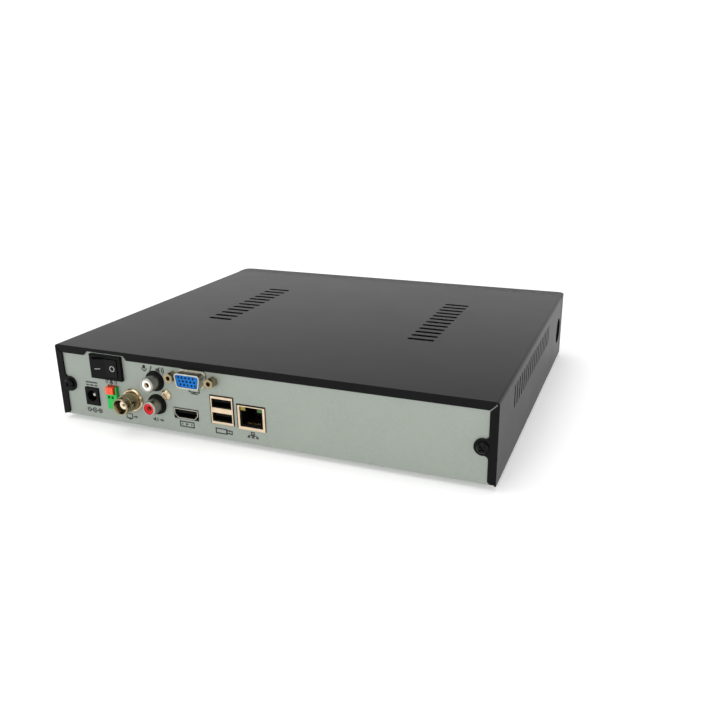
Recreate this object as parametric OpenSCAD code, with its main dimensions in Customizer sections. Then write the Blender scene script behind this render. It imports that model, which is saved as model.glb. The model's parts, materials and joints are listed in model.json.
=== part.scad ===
/* [Case] */
// Width across the steel cover
case_w = 255; // [253:1:262]
// Depth from the face of the bezel to the rear lip
case_d = 217; // [216:1:226]
// Height of the case without its feet
case_h = 42.5; // [42:0.5:46]
// Thickness of the steel sheet
sheet_t = 1; // [0.8:0.1:1.2]
// Outer radius of the bends in the cover
bend_r = 1.6; // [1.4:0.1:2.5]
// Height of the rubber feet
foot_h = 3; // [3:0.5:5]
// Radius of a rubber foot
foot_r = 7; // [5:0.5:9]
// Depth of the plastic bezel in front of the cover
bezel_d = 12.3; // [12:0.1:14]
// Wall thickness of the bezel
bezel_t = 2.2; // [1.8:0.1:2.6]

/* [Rear edge of the cover] */
// Height of the lip folded over the top of the rear panel
lip_h = 4.5; // [3.5:0.1:4.6]
// Width of the flanges folded over the sides of the rear panel
flange_w = 4.3; // [3.5:0.1:5]
// Radius of the screw ears on the flanges
ear_r = 4.4; // [4:0.1:5]
// Distance of the ear screws from the sides of the case
ear_inset = 7; // [6.5:0.1:8]
// Height of the ear screws above the underside
ear_z = 19.2; // [16:0.1:22]

/* [Vents] */
// Number of slots in each group on top
top_vent_count = 12; // [6:1:12]
// Spacing of the slots on top
top_vent_pitch = 7.2; // [6:0.1:7.5]
// Length of a slot on top
top_vent_len = 16; // [12:0.5:20]
// Width of a slot on top
top_vent_w = 3.2; // [2:0.1:3.5]
// Distance of each group on top from the middle of the case
top_vent_x = 66; // [50:1:80]
// Number of slots in each side
side_vent_count = 18; // [8:1:18]
// Spacing of the slots in the sides
side_vent_pitch = 6.45; // [5:0.05:6.5]
// Height of a slot in the sides
side_vent_h = 12.4; // [8:0.1:13]
// Width of a slot in the sides
side_vent_w = 2.4; // [1.8:0.1:3]

/* [Rear panel layout, seen from behind] */
// Distance of the rocker switch to the left of the middle
switch_x = 92.4; // [91:0.1:93]
// Height of the rocker switch
switch_z = 32.6; // [32:0.1:33]
// Distance of the power jack to the left of the middle
jack_x = 105.4; // [104:0.1:106]
// Distance of the terminal block to the left of the middle
terminal_x = 90.3; // [90:0.1:92]
// Distance of the video socket to the left of the middle
bnc_x = 76.9; // [76:0.1:78]
// Height of the video socket
bnc_z = 15; // [14.5:0.1:15.5]
// Distance of the audio sockets to the left of the middle
rca_x = 61; // [60.5:0.1:61.5]
// Height of the lower audio socket
rca_z = 14.6; // [14.5:0.1:15]
// Spacing of the two audio sockets
rca_pitch = 13.6; // [13.5:0.1:14]
// Distance of the monitor socket to the left of the middle
vga_x = 36.2; // [36:0.1:36.5]
// Height of the monitor socket
vga_z = 32.8; // [32.5:0.1:33]
// Distance of the picture and sound socket to the left of the middle
hdmi_x = 42.6; // [42.4:0.1:42.8]
// Distance of the serial bus sockets to the left of the middle
usb_x = 19.3; // [19:0.1:19.5]
// Distance of the network socket to the left of the middle
lan_x = 1.7; // [1:0.1:2]

/* [Inside] */
// Height of the top of the main board above the underside
board_z = 8; // [8:0.1:8.2]
// Distance of the drive's middle to the right of the middle
drive_x = 70; // [68:0.5:71]
// Distance of the drive's middle in front of the middle
drive_y = 15; // [12:0.5:16]

/* [Hidden] */
$fn = 48;
fit = 0.3;
rear_y = case_d / 2;
front_y = -case_d / 2;
panel_y = rear_y - sheet_t;
bnc_len = 12;
centre_y = -(bnc_len - sheet_t) / 2;
bezel_back = front_y + bezel_d;
cover_front = bezel_back + 0.2;
pan_w = case_w - 2 * (sheet_t + fit);
panel_h = case_h - sheet_t - fit;
ear_x = case_w / 2 - ear_inset;
latch_window_r = 8.5;
latch_window_y = cover_front + latch_window_r + 1.2;
latch_window_z = 20.5;
side_vent_z = 25.1;
side_vent_last_y = 70.6;
top_vent_last_y = 31;

latch_t = 1.5;
latch_x0 = case_w / 2 - sheet_t - fit - latch_t;
latch_y1 = latch_window_y + latch_window_r + 1;
latch_z0 = latch_window_z - latch_window_r - 1;
latch_z1 = latch_window_z + latch_window_r + 1;
bezel_h = case_h - 0.3;
bezel_corner_r = 5;
ear_hole_r = 1.8;
side_flange_h = 10;
foot_x = 95;
foot_y = 88;

// rear connectors, behind and in front of the panel
switch_frame_w = 21;
switch_frame_h = 14.2;
switch_body_w = 18.8;
switch_body_h = 12.8;
switch_body_l = 14;
switch_cavity_w = 16.8;
switch_cavity_h = 11;
rocker_h = 10.4;
rocker_y = -0.1;
rocker_tilt = 12;
rocker_pin_r = 1.2;
jack_w = 9;
jack_h = 10.4;
jack_bore_r = 3.25;
jack_bore_z = board_z + 5.7;
terminal_w = 6.8;
terminal_h = 13.4;
terminal_face = 2;
terminal_pitch = 2.54;
lever_w = 2.3;
lever_shift = 0.8;
lever_h = 4.3;
lever_z = board_z + terminal_h - lever_h;
bnc_r = 4.8;
bnc_rear_r = 5.15;
bnc_lug_y = bnc_len - 5;
bnc_thread_r = 6.2;
rca_r = 4.15;
rca_seat_r = 3.9;
rca_insert_r = 3.1;
rca_nose_r = 5.7;
rca_nose_l = 0.9;
rca_len = 8;
rca_screw_at = [rca_x - 6.8, rca_z + rca_pitch / 2 - 0.3];
vga_w = 16.3;
vga_h = 8.3;
vga_len = 6;
vga_screw_pitch = 25;
vga_screw_len = 5;
hdmi_w = 15;
hdmi_h = 5.6;
hdmi_z = board_z + 0.5 + hdmi_h / 2;
usb_w = 13.3;
usb_h = 15.6;
usb_len = 17.5;
usb_z = board_z + 1 + usb_h / 2;
lan_w = 16;
lan_h = 13.4;
lan_len = 21;
lan_z = board_z + 0.2 + lan_h / 2;

// main board
pcb_t = 1.6;
board_x0 = -15;
board_x1 = 118;
board_y0 = 22;
board_y1 = panel_y - sheet_t - 1;
board_holes = [[-10.5, 30], [113.8, 28], [-10.5, 98], [114, 98]];
chip_x = 45;
chip_y = 52;
sata_at = [4, 74];
header_places = [[-8, 60], [94, 70], [30, 27]];

// front board
front_board_x0 = 12;
front_board_x1 = 84;
front_board_y = bezel_back - 3.8;
front_posts = [[17, 13], [79, 13]];
front_plug_x = 42;
front_plug_z = 20;
led_x = 20;
led_pitch = 8;
led_z = 24;
led_r = 1.5;
ir_x = 66;
ir_z = 23;
ir_w = 18;
ir_h = 9;

// drive
drive_w = 101.6;
drive_l = 147;
drive_h = 26.1;
boss_r = 7;
boss_h = 3;
drive_screw_r = 1.7;
drive_z = boss_h + sheet_t;
drive_hole_dx = 47.6;
drive_hole_dy = 38.1;
drive_holes = [for (sx = [-1, 1], sy = [-1, 1])
    [-drive_x + sx * drive_hole_dx, -drive_y + sy * drive_hole_dy]];
drive_back_y = -drive_y + drive_l / 2;
drive_data_x = -drive_x + 20;
drive_power_x = -drive_x;
drive_plug_z = drive_z + 3.8;
spindle_y = 22;
platter_r = 47.5;
arm_pivot = [20, -42];
arm_rest = 151.4;
arm_len = 56;
sealed_z0 = 6;
drive_socket_z1 = 5.4;
sealed_z1 = drive_h - 1.6;

// cable routes, from plug to plug, with heights above the underside
data_route = [
    [4, 74, 25.6], [4, 74, 30], [-3, 77, 34], [-18, 84, 33], [-34, 90, 24], [-46, 89, 13],
    [-50, 82, 8], [-50, 74, 7.8], [-50, 67.5, 7.8]
];
drive_power_route = [
    [-8, 60, 17.5], [-8, 60, 20.5], [-14, 65, 23], [-34, 76, 20], [-56, 84, 13], [-68, 83, 8.5],
    [-70, 76, 7.8], [-70, 67.5, 7.8]
];
switch_route = [
    [92.4, 85.5, 32.6], [92.4, 80, 32.6], [93, 74, 29], [94, 70.5, 23], [94, 70, 20], [94, 70, 17.5]
];
panel_route = [
    [30, 27, 17.5], [30, 27, 20], [30, 20, 22], [32, 6, 16], [36, -20, 6], [40, -56, 5],
    [42, -74, 11], [42, -84, 20], [42, -91.4, 20]
];

// A box between two opposite corners
module span(low, high) translate(low) cube(high - low);

// Stands the case on its feet and centres the whole object, sockets included
module raised() translate([0, centre_y, foot_h]) children();

// A round bar along Y between two depths
module rod(r, y0, y1) translate([0, y0, 0]) rotate([-90, 0, 0]) cylinder(r = r, h = y1 - y0);

// Both sides of the case, the second one mirrored
module both_sides() for (side = [0, 1]) mirror([side, 0, 0]) children();

// A rear connector's place: its Y 0 is the outer face of the rear panel
module on_panel(place) translate([place[0], panel_y, place[1]]) children();

// A flat shape seen from behind, pushed from y0 to y1
module extrude_y(y0, y1) translate([0, y1, 0]) rotate([90, 0, 0]) linear_extrude(y1 - y0) children();

// A slot with round ends
module slot_2d(length, width) {
    square([length - width, width], center = true);
    for (side = [-1, 1]) translate([side * (length - width) / 2, 0]) circle(d = width);
}

// The points of a polygon whose corners are rounded, given anticlockwise
function unit(v) = v / norm(v);
function rounded(points, r, steps = 5) = [
    for (i = [0 : len(points) - 1])
        let (
            here = points[i],
            back = unit(points[(i + len(points) - 1) % len(points)] - here),
            ahead = unit(points[(i + 1) % len(points)] - here),
            half = acos(back * ahead) / 2,
            centre = here + unit(back + ahead) * r / sin(half),
            start = atan2(-(back + ahead)[1], -(back + ahead)[0]) - (90 - half)
        )
        for (k = [0 : steps]) centre + r * [cos(start + k * (180 - 2 * half) / steps),
                                            sin(start + k * (180 - 2 * half) / steps)]
];

// The outline of the monitor socket: wide at the top
module d_outline(w, h, r) {
    slope = h * tan(10);
    polygon(rounded([[-w / 2 + slope, -h / 2], [w / 2 - slope, -h / 2], [w / 2, h / 2], [-w / 2, h / 2]], r));
}

// The outline of the picture and sound socket: its lower corners cut away
module hdmi_outline(w, h) {
    cut = h * 0.42;
    polygon([
        [-w / 2 + cut, -h / 2], [w / 2 - cut, -h / 2], [w / 2, -h / 2 + cut], [w / 2, h / 2],
        [-w / 2, h / 2], [-w / 2, -h / 2 + cut]
    ]);
}

// A pan-head screw whose head stands on Y 0 and points along +Y
module pan_screw(head_r, head_h, shank_r, shank_l) difference() {
    rotate([-90, 0, 0]) rotate_extrude() polygon([
        [0, -shank_l], [shank_r, -shank_l], [shank_r, 0], [head_r, 0], [head_r, head_h * 0.45],
        [head_r * 0.72, head_h], [0, head_h]
    ]);
    for (turn = [45, 135]) translate([0, head_h, 0]) rotate([0, turn, 0])
        cube([head_r * 1.1, head_h, head_r * 0.26], center = true);
}

// A smooth route through hand-chosen points, and the rings of a tube along it
function spline(a, b, c, d, t) = 0.5 * (2 * b + (c - a) * t + (2 * a - 5 * b + 4 * c - d) * t * t
    + (3 * b - a - 3 * c + d) * t * t * t);
function smooth(route, steps) = [
    for (i = [0 : len(route) - 2], k = [0 : steps - 1])
        spline(route[max(i - 1, 0)], route[i], route[i + 1], route[min(i + 2, len(route) - 1)], k / steps),
    route[len(route) - 1]
];
function way(line, route, i) =
    i == 0 ? unit(route[1] - route[0])
    : i == len(line) - 1 ? unit(route[len(route) - 1] - route[len(route) - 2])
    : unit(line[i + 1] - line[i - 1]);

// A round cable along a route, cut square at both ends; side is a direction that the route never follows
module cable(route, r, side, sides = 8) {
    line = smooth(route, 5);
    last = len(line) - 1;
    polyhedron(
        points = [
            for (i = [0 : last])
                let (
                    ahead = way(line, route, i),
                    across = unit(cross(ahead, side)),
                    over = cross(ahead, across)
                )
                for (k = [0 : sides - 1])
                    line[i] + r * (cos(k * 360 / sides) * across + sin(k * 360 / sides) * over)
        ],
        faces = concat(
            [[for (k = [0 : sides - 1]) k]],
            [for (i = [0 : last - 1], k = [0 : sides - 1])
                [i * sides + k, (i + 1) * sides + k, (i + 1) * sides + (k + 1) % sides, i * sides + (k + 1) % sides]],
            [[for (k = [sides - 1 : -1 : 0]) last * sides + k]]
        )
    );
}

// The bent outline of the cover: square at the foot, round at the two upper bends
module bent_outline(w, h, r) {
    translate([-w / 2, 0]) square([w, h - r]);
    translate([-w / 2 + r, 0]) square([w - 2 * r, h]);
    for (side = [-1, 1]) translate([side * (w / 2 - r), h - r]) circle(r = r);
}

module cover_shell() extrude_y(cover_front, rear_y) difference() {
    bent_outline(case_w, case_h, bend_r);
    translate([0, -sheet_t]) bent_outline(case_w - 2 * sheet_t, case_h, bend_r - sheet_t);
}

module top_vents() both_sides() for (i = [0 : top_vent_count - 1])
    translate([top_vent_x, top_vent_last_y - i * top_vent_pitch, case_h - 2 * sheet_t])
        linear_extrude(3 * sheet_t) slot_2d(top_vent_len, top_vent_w);

module side_vents() for (i = [0 : side_vent_count - 1])
    translate([0, side_vent_last_y - i * side_vent_pitch, side_vent_z + side_vent_h / 2])
        rotate([0, 90, 0]) linear_extrude(case_w + 2, center = true) slot_2d(side_vent_h, side_vent_w);

// The lip folded down over the top of the rear panel, cut back over the rocker switch
module rear_lip() {
    edge = case_w / 2;
    low = case_h - lip_h;
    notch_left = switch_x + switch_frame_w / 2 + 2.8;
    notch_right = switch_x - switch_frame_w / 2 - 1.6;
    extrude_y(panel_y, rear_y) difference() {
        polygon([
            [lip_h - edge, low], [edge - lip_h, low], [edge - bend_r, case_h - bend_r],
            [edge - bend_r, case_h - sheet_t / 2], [bend_r - edge, case_h - sheet_t / 2],
            [bend_r - edge, case_h - bend_r]
        ]);
        polygon([
            [notch_right - 2, low - 1], [notch_left + 2, low - 1], [notch_left + 2, low],
            [notch_left, case_h - 2], [notch_right, case_h - 2], [notch_right - 2, low]
        ]);
    }
}

// The left flange folded over the rear panel, with its screw ear and the fillets beside the ear
module rear_flange() {
    outer = (case_w - sheet_t) / 2;
    inner = case_w / 2 - flange_w;
    fillet_r = 2;
    mitre_gap = 1;
    fillet_at = [inner - fillet_r, sqrt(pow(ear_r + fillet_r - 0.1, 2) - pow(inner - fillet_r - ear_x, 2))];
    extrude_y(panel_y, rear_y) difference() {
        union() {
            polygon([
                [inner + 1.2, 0.6], [outer, 0.6], [outer, case_h - sheet_t / 2 - mitre_gap],
                [inner, case_h - flange_w - mitre_gap], [inner, 1.8]
            ]);
            translate([ear_x, ear_z]) circle(r = ear_r);
            translate([fillet_at[0], ear_z - fillet_at[1]]) square([fillet_r + 0.1, 2 * fillet_at[1]]);
        }
        for (end = [-1, 1]) translate([fillet_at[0], ear_z + end * fillet_at[1]]) circle(r = fillet_r);
        translate([ear_x, ear_z]) circle(r = ear_hole_r);
    }
}

// The steel cover: top and sides in one sheet, with its rear lip and flanges
module top_cover() color("#2b2c2d") raised() {
    difference() {
        cover_shell();
        top_vents();
        side_vents();
        both_sides() translate([0, latch_window_y, latch_window_z]) rotate([0, 90, 0])
            cylinder(r = latch_window_r, h = case_w);
    }
    rear_lip();
    both_sides() rear_flange();
}

// The two screws that hold the ears of the cover to the rear panel
module cover_screws() color("#1c1c1d") raised() both_sides()
    translate([ear_x, rear_y, ear_z]) pan_screw(3, 1.9, 1.5, 5);

module window(w, h) cube([w, 4, h], center = true);

// Everything that is punched out of the rear panel
module rear_cutouts() {
    on_panel([switch_x, switch_z]) window(switch_body_w + 2 * fit, switch_body_h + 2 * fit);
    on_panel([jack_x, board_z + jack_h / 2]) window(jack_w + 2 * fit, jack_h + 2 * fit);
    on_panel([terminal_x, board_z + terminal_h / 2]) window(terminal_w + 2 * fit, terminal_h + 1);
    on_panel([bnc_x, bnc_z]) rod(bnc_thread_r + 0.2, -2, 1);
    for (i = [0, 1]) on_panel([rca_x, rca_z + i * rca_pitch]) rod(rca_nose_r + 0.2, -2, 1);
    on_panel(rca_screw_at) rod(1.7, -2, 1);
    on_panel([vga_x, vga_z]) {
        extrude_y(-2, 1) d_outline(vga_w + 1.4, vga_h + 1.4, 2.2);
        both_sides() translate([vga_screw_pitch / 2, 0, 0]) rod(1.7, -2, 1);
    }
    on_panel([hdmi_x, hdmi_z]) window(hdmi_w + 1, hdmi_h + 1);
    on_panel([usb_x + 0.3, usb_z]) window(usb_w + 1.4, usb_h + 1);
    on_panel([lan_x + 0.4, lan_z + 0.2]) window(lan_w + 1.3, lan_h + 0.8);
    both_sides() on_panel([ear_x, ear_z]) rod(1.7, -2, 1);
}

// The galvanised floor with its rear panel, front wall and side flanges
module chassis() color("#b4beb3") raised() difference() {
    union() {
        span([-pan_w / 2, bezel_back, 0], [pan_w / 2, panel_y, sheet_t]);
        span([-pan_w / 2, panel_y - sheet_t, 0], [pan_w / 2, panel_y, panel_h]);
        span([-pan_w / 2, bezel_back, 0], [pan_w / 2, bezel_back + sheet_t, panel_h]);
        both_sides() {
            span([pan_w / 2 - sheet_t, bezel_back, 0], [pan_w / 2, panel_y, side_flange_h]);
            translate([ear_x, panel_y, ear_z]) rod(3.2, -sheet_t - 2, -sheet_t / 2);
        }
        for (place = drive_holes) translate(place) cylinder(r = boss_r, h = drive_z);
    }
    rear_cutouts();
    both_sides() translate([ear_x, panel_y, ear_z]) rod(1.7, -4, 0);
    for (place = drive_holes) translate([place[0], place[1], -1]) {
        cylinder(r = boss_r - sheet_t, h = boss_h + 1);
        cylinder(r = drive_screw_r + 0.2, h = boss_h + 3);
    }
    // window in the front wall behind the front board
    span([front_board_x0 - 3, bezel_back - 1, 5], [front_board_x1 + 3, bezel_back + 2, 36]);
    // slots that let the latches of the bezel through
    both_sides() span([latch_x0 - fit, bezel_back - 1, latch_z0 - fit],
        [case_w / 2, bezel_back + 2, latch_z1 + fit]);
}

// The outline of the bezel from above, with round front corners
module bezel_outline(inset, back_y) {
    w = case_w / 2 - inset;
    r = bezel_corner_r - inset;
    y0 = front_y + inset;
    translate([-w, y0 + r]) square([2 * w, back_y - y0 - r]);
    translate([r - w, y0]) square([2 * w - 2 * r, back_y - y0]);
    for (side = [-1, 1]) translate([side * (w - r), y0 + r]) circle(r = r);
}

// The plastic bezel: a shell open at the back, with two latches and two staked board posts
module front_bezel() color("#1b1c1e") raised() {
    difference() {
        linear_extrude(bezel_h) bezel_outline(0, bezel_back);
        translate([0, 0, bezel_t]) linear_extrude(bezel_h - 2 * bezel_t)
            bezel_outline(bezel_t, bezel_back + 1);
        translate([ir_x, front_y, ir_z]) cube([ir_w, 3 * bezel_t, ir_h], center = true);
        for (i = [0 : 2]) translate([led_x + i * led_pitch, front_y, led_z]) rod(led_r + 0.15, -1, 4);
    }
    both_sides() span([latch_x0, bezel_back - 4, latch_z0], [latch_x0 + latch_t, latch_y1, latch_z1]);
    for (place = front_posts) translate([place[0], 0, place[1]]) {
        rod(2.6, front_y + bezel_t - 0.1, front_board_y);
        rod(1.2, front_board_y - 1, front_board_y + pcb_t + 0.1);
        rod(2.2, front_board_y + pcb_t, front_board_y + pcb_t + 0.8);
    }
}

// The dark window in the bezel over the remote-control receiver
module ir_window() color("#2a0f12") raised() translate([ir_x, front_y, ir_z]) {
    span([-ir_w / 2 + 0.2, 0, -ir_h / 2 + 0.2], [ir_w / 2 - 0.2, bezel_t, ir_h / 2 - 0.2]);
    span([-ir_w / 2 - 1.5, bezel_t, -ir_h / 2 - 1.5], [ir_w / 2 + 1.5, bezel_t + 1, ir_h / 2 + 1.5]);
}

// The remote-control receiver on the front board
module ir_receiver() color("#16161a") raised() translate([ir_x, front_board_y, ir_z]) {
    span([-3, -2.6, -3.5], [3, 0, 3.5]);
    translate([0, 0, 0.5]) rod(1.6, -3.6, -2.5);
}

// Three status lamps that stand on the front board and show in the bezel
module status_leds() color("#d8e4d0") raised() for (i = [0 : 2])
    translate([led_x + i * led_pitch, 0, led_z]) rod(led_r, front_y + 0.3, front_board_y);

// The small upright board behind the bezel
module front_board() color("#1f5a38") raised() difference() {
    span([front_board_x0, front_board_y, 7], [front_board_x1, front_board_y + pcb_t, 34]);
    for (place = front_posts) translate([place[0], front_board_y, place[1]]) rod(1.3, -1, pcb_t + 1);
}

// Four round rubber feet
module rubber_feet() color("#1e1e1e") both_sides() for (y = [-foot_y, foot_y])
    translate([foot_x, centre_y + y, 0]) rotate_extrude() polygon([
        [0, 0.6], [foot_r - 3, 0.6], [foot_r - 2.5, 0], [foot_r - 1, 0], [foot_r, foot_h], [0, foot_h]
    ]);

// The black frame and body of the rocker switch, with blind pivot holes above and below
module switch_frame() color("#161617") raised() on_panel([switch_x, switch_z]) difference() {
    union() {
        span([-switch_frame_w / 2, 0, -switch_frame_h / 2], [switch_frame_w / 2, 2, switch_frame_h / 2]);
        span([-switch_body_w / 2, -switch_body_l, -switch_body_h / 2], [switch_body_w / 2, 1, switch_body_h / 2]);
    }
    span([-switch_cavity_w / 2, -9, -switch_cavity_h / 2], [switch_cavity_w / 2, 3, switch_cavity_h / 2]);
    translate([0, rocker_y, 0]) cylinder(r = rocker_pin_r + 0.1, h = switch_cavity_h + 1, center = true);
}

// The rocker with its pivot pins, tilted to its off side
module switch_rocker() color("#121213") raised() on_panel([switch_x, switch_z])
    translate([0, rocker_y, 0]) rotate([0, 0, rocker_tilt]) {
        linear_extrude(rocker_h, center = true) polygon([
            [-7.3, 4], [-6.9, -1], [-3, -5], [3, -5], [6.9, -1], [7.3, 4], [0, 2.7]
        ]);
        cylinder(r = rocker_pin_r, h = switch_cavity_h + 0.8, center = true);
    }

// The block of the power jack, with its round bore
module power_jack() color("#141415") raised() difference() {
    translate([jack_x, panel_y, board_z]) span([-jack_w / 2, -13, 0], [jack_w / 2, 1, jack_h]);
    translate([jack_x, panel_y, jack_bore_z]) rod(jack_bore_r, -9, 2);
}

// The centre pin of the power jack
module power_jack_pin() color("#d5d5d2") raised() translate([jack_x, panel_y, jack_bore_z]) {
    rod(1, -9, -1.2);
    translate([0, -1.3, 0]) rod(0.7, 0, 0.5);
}

// Each lever and its wire hole, off the middle of the block towards its open side
function lever_x(side) = terminal_x + lever_shift + side * terminal_pitch / 2;

// The green alarm terminal, with two wire holes below the open seat of the levers
module terminal_block() color("#2aa55a") raised() difference() {
    translate([terminal_x, panel_y, board_z])
        span([-terminal_w / 2, -8, 0], [terminal_w / 2, terminal_face, terminal_h]);
    for (side = [-1, 1]) translate([lever_x(side), panel_y, board_z + 7])
        rod(0.85, -5, terminal_face + 1);
    translate([terminal_x, panel_y, 0]) span([-terminal_w / 2 + 0.6, -5, lever_z - 0.2],
        [terminal_w / 2 + 1, terminal_face + 1, board_z + terminal_h + 1]);
}

// One orange release lever of the terminal
module terminal_lever(side) color("#e8502a") raised()
    translate([lever_x(side), panel_y, lever_z])
        span([-lever_w / 2, -3, 0.1], [lever_w / 2, terminal_face + 0.9, lever_h - 0.2]);

module terminal_lever_left() terminal_lever(1);

module terminal_lever_right() terminal_lever(-1);

// The video socket: a cast block on the board, its barrel and its two bayonet lugs
module bnc_shell() color("#8f8468") raised() on_panel([bnc_x, bnc_z]) {
    rotate([-90, 0, 0]) rotate_extrude() polygon([
        [2.5, -14], [bnc_thread_r, -14], [bnc_thread_r, -0.3], [bnc_rear_r, -0.3],
        [bnc_rear_r, bnc_lug_y + 1.2], [bnc_r, bnc_lug_y + 1.2], [bnc_r, bnc_len - 0.4],
        [bnc_r - 0.3, bnc_len], [4.05, bnc_len], [4.05, 3], [2.5, 3]
    ]);
    difference() {
        span([-6.4, -13, board_z - bnc_z], [6.4, -2.5, 6.4]);
        rod(3, -14, 0);
    }
    both_sides() translate([bnc_r - 0.5, bnc_lug_y, 0]) rotate([0, 90, 0]) cylinder(r = 1, h = 1.6);
}

// The round nut that clamps the video socket to the panel
module bnc_nut() color("#b9a98a") raised() on_panel([bnc_x, bnc_z]) rotate([-90, 0, 0])
    rotate_extrude() polygon([
        [bnc_rear_r + 0.05, 0], [6.7, 0], [6.7, 1], [6.2, 1.8], [bnc_rear_r + 0.4, 1.8],
        [bnc_rear_r + 0.05, 1.5]
    ]);

// The pale insulator inside the video socket
module bnc_insulator() color("#e4dcc6") raised() on_panel([bnc_x, bnc_z]) difference() {
    rod(2.4, -14, bnc_len - 3.2);
    rod(0.95, -15, bnc_len);
}

// The centre contact of the video socket
module bnc_contact() color("#c8a24c") raised() on_panel([bnc_x, bnc_z]) difference() {
    rod(0.9, -15, bnc_len - 3.6);
    rod(0.5, 4, bnc_len);
}

// The black block of the two audio sockets, with its round noses
module rca_block() color("#171718") raised() difference() {
    union() {
        translate([rca_x, panel_y, 0]) span([-6, -12, board_z], [5.8, -sheet_t, rca_z + rca_pitch + 6]);
        translate([rca_screw_at[0], panel_y, rca_screw_at[1]]) span([-2.6, -8, -3], [2, -sheet_t, 3]);
        for (i = [0, 1]) on_panel([rca_x, rca_z + i * rca_pitch]) rod(rca_nose_r, -2, rca_nose_l);
    }
    for (i = [0, 1]) on_panel([rca_x, rca_z + i * rca_pitch]) rod(rca_seat_r + 0.05, -3, 2);
    on_panel(rca_screw_at) rod(1.4, -7, 1);
}

// The metal shells of the two audio sockets
module rca_shells() color("#8e8e84") raised() for (i = [0, 1]) on_panel([rca_x, rca_z + i * rca_pitch])
    rotate([-90, 0, 0]) rotate_extrude() polygon([
        [rca_insert_r + 0.05, -3], [rca_seat_r, -3], [rca_seat_r, rca_nose_l], [rca_r, rca_nose_l],
        [rca_r, rca_len - 0.5], [rca_r - 0.3, rca_len], [rca_insert_r + 0.05, rca_len]
    ]);

// One insulating insert of an audio socket
module rca_insert(i) raised() on_panel([rca_x, rca_z + i * rca_pitch]) difference() {
    rod(rca_insert_r, -3, rca_len - 0.5);
    rod(1.6, -1, rca_len + 1);
}

module rca_insert_white() color("#eeeeea") rca_insert(1);

module rca_insert_red() color("#d9252b") rca_insert(0);

// The sprung centre contacts inside the two inserts
module rca_contacts() color("#7d7250") raised() for (i = [0, 1]) on_panel([rca_x, rca_z + i * rca_pitch])
    difference() {
        rod(1.55, -1, rca_len - 1.6);
        rod(1.2, -0.5, rca_len);
    }

module rca_screw() color("#c7b183") raised() on_panel(rca_screw_at) pan_screw(2.9, 1.7, 1.35, 6.5);

// The metal shell and flange of the monitor socket
module vga_shell() color("#a8a695") raised() on_panel([vga_x, vga_z]) difference() {
    union() {
        extrude_y(-4, vga_len) d_outline(vga_w, vga_h, 1.9);
        span([-15.3, -sheet_t - 0.8, -6.2], [15.3, -sheet_t, 6.2]);
        extrude_y(-sheet_t - 0.4, 0.8) d_outline(vga_w + 1.2, vga_h + 1.2, 2.1);
    }
    extrude_y(-5, vga_len + 1) d_outline(vga_w - 1.5, vga_h - 1.5, 1.2);
    for (side = [-1, 1]) translate([side * vga_screw_pitch / 2, 0, 0]) rod(1.7, -3, 0);
}

// The blue insert of the monitor socket, with three rows of five contacts
module vga_insert() color("#1f5fc4") raised() on_panel([vga_x, vga_z]) difference() {
    extrude_y(-4, vga_len - 0.4) d_outline(vga_w - 1.6, vga_h - 1.6, 1.15);
    for (row = [-1 : 1], i = [-2 : 2])
        translate([i * 2.29 + row * 0.57 + 0.2, 0, row * 1.98]) rod(0.68, 0, vga_len);
}

// The black tower that carries the monitor socket over its neighbour
module vga_housing() color("#18181a") raised() on_panel([vga_x, 0]) difference() {
    union() {
        span([-15.3, -13, usb_z + usb_h / 2 + 1], [15.3, -sheet_t - 0.8, vga_z + 6.2]);
        span([-8.8, -13, board_z], [-1.8, -2.5, usb_z + usb_h / 2 + 2]);
        span([-8.8, -13, hdmi_z + hdmi_h / 2 + 0.8], [14, -2.5, usb_z + usb_h / 2 + 2]);
    }
    span([-vga_w / 2 - 0.2, -4, vga_z - vga_h / 2 - 0.2], [vga_w / 2 + 0.2, 0, vga_z + vga_h / 2 + 0.2]);
    for (side = [-1, 1]) translate([side * vga_screw_pitch / 2, 0, vga_z]) rod(1.7, -7, 0);
}

// The two hexagonal screws beside the monitor socket, each with a threaded hole
module vga_jackscrews() color("#b5a684") raised() on_panel([vga_x, vga_z])
    for (side = [-1, 1]) translate([side * vga_screw_pitch / 2, 0, 0]) difference() {
        union() {
            rotate([-90, 30, 0]) cylinder(d = 5 / cos(30), h = vga_screw_len, $fn = 6);
            rod(1.45, -6, 0.5);
        }
        rod(1.25, 0.6, vga_screw_len + 1);
    }

module hdmi_shell() color("#b9b4a4") raised() on_panel([hdmi_x, hdmi_z]) difference() {
    extrude_y(-11, 0.3) hdmi_outline(hdmi_w, hdmi_h);
    extrude_y(-10, 1) hdmi_outline(hdmi_w - 0.8, hdmi_h - 0.8);
}

// The black lining, tongue and foot of the picture and sound socket
module hdmi_tongue() color("#161618") raised() on_panel([hdmi_x, hdmi_z]) {
    difference() {
        extrude_y(-10, -0.4) hdmi_outline(hdmi_w - 0.9, hdmi_h - 0.9);
        extrude_y(-9, 1) hdmi_outline(hdmi_w - 1.7, hdmi_h - 1.7);
    }
    span([-5.6, -9.5, 0.1], [5.6, -0.8, 1.4]);
    span([-6.5, -10, board_z - hdmi_z], [6.5, -2.5, -hdmi_h / 2]);
}

// The metal shell of the two stacked serial bus sockets
module usb_shell() color("#c9bfa6") raised() on_panel([usb_x, usb_z]) difference() {
    union() {
        span([-usb_w / 2, -usb_len + 0.8, -usb_h / 2], [usb_w / 2, 0.8, usb_h / 2]);
        both_sides() span([usb_w / 2 - 1, -usb_len + 1, board_z - usb_z], [usb_w / 2, -3, 0]);
    }
    for (side = [-1, 1]) translate([0, 0, side * 3.95]) span([-6.05, -usb_len + 1.6, -2.55], [6.05, 2, 2.55]);
}

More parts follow.
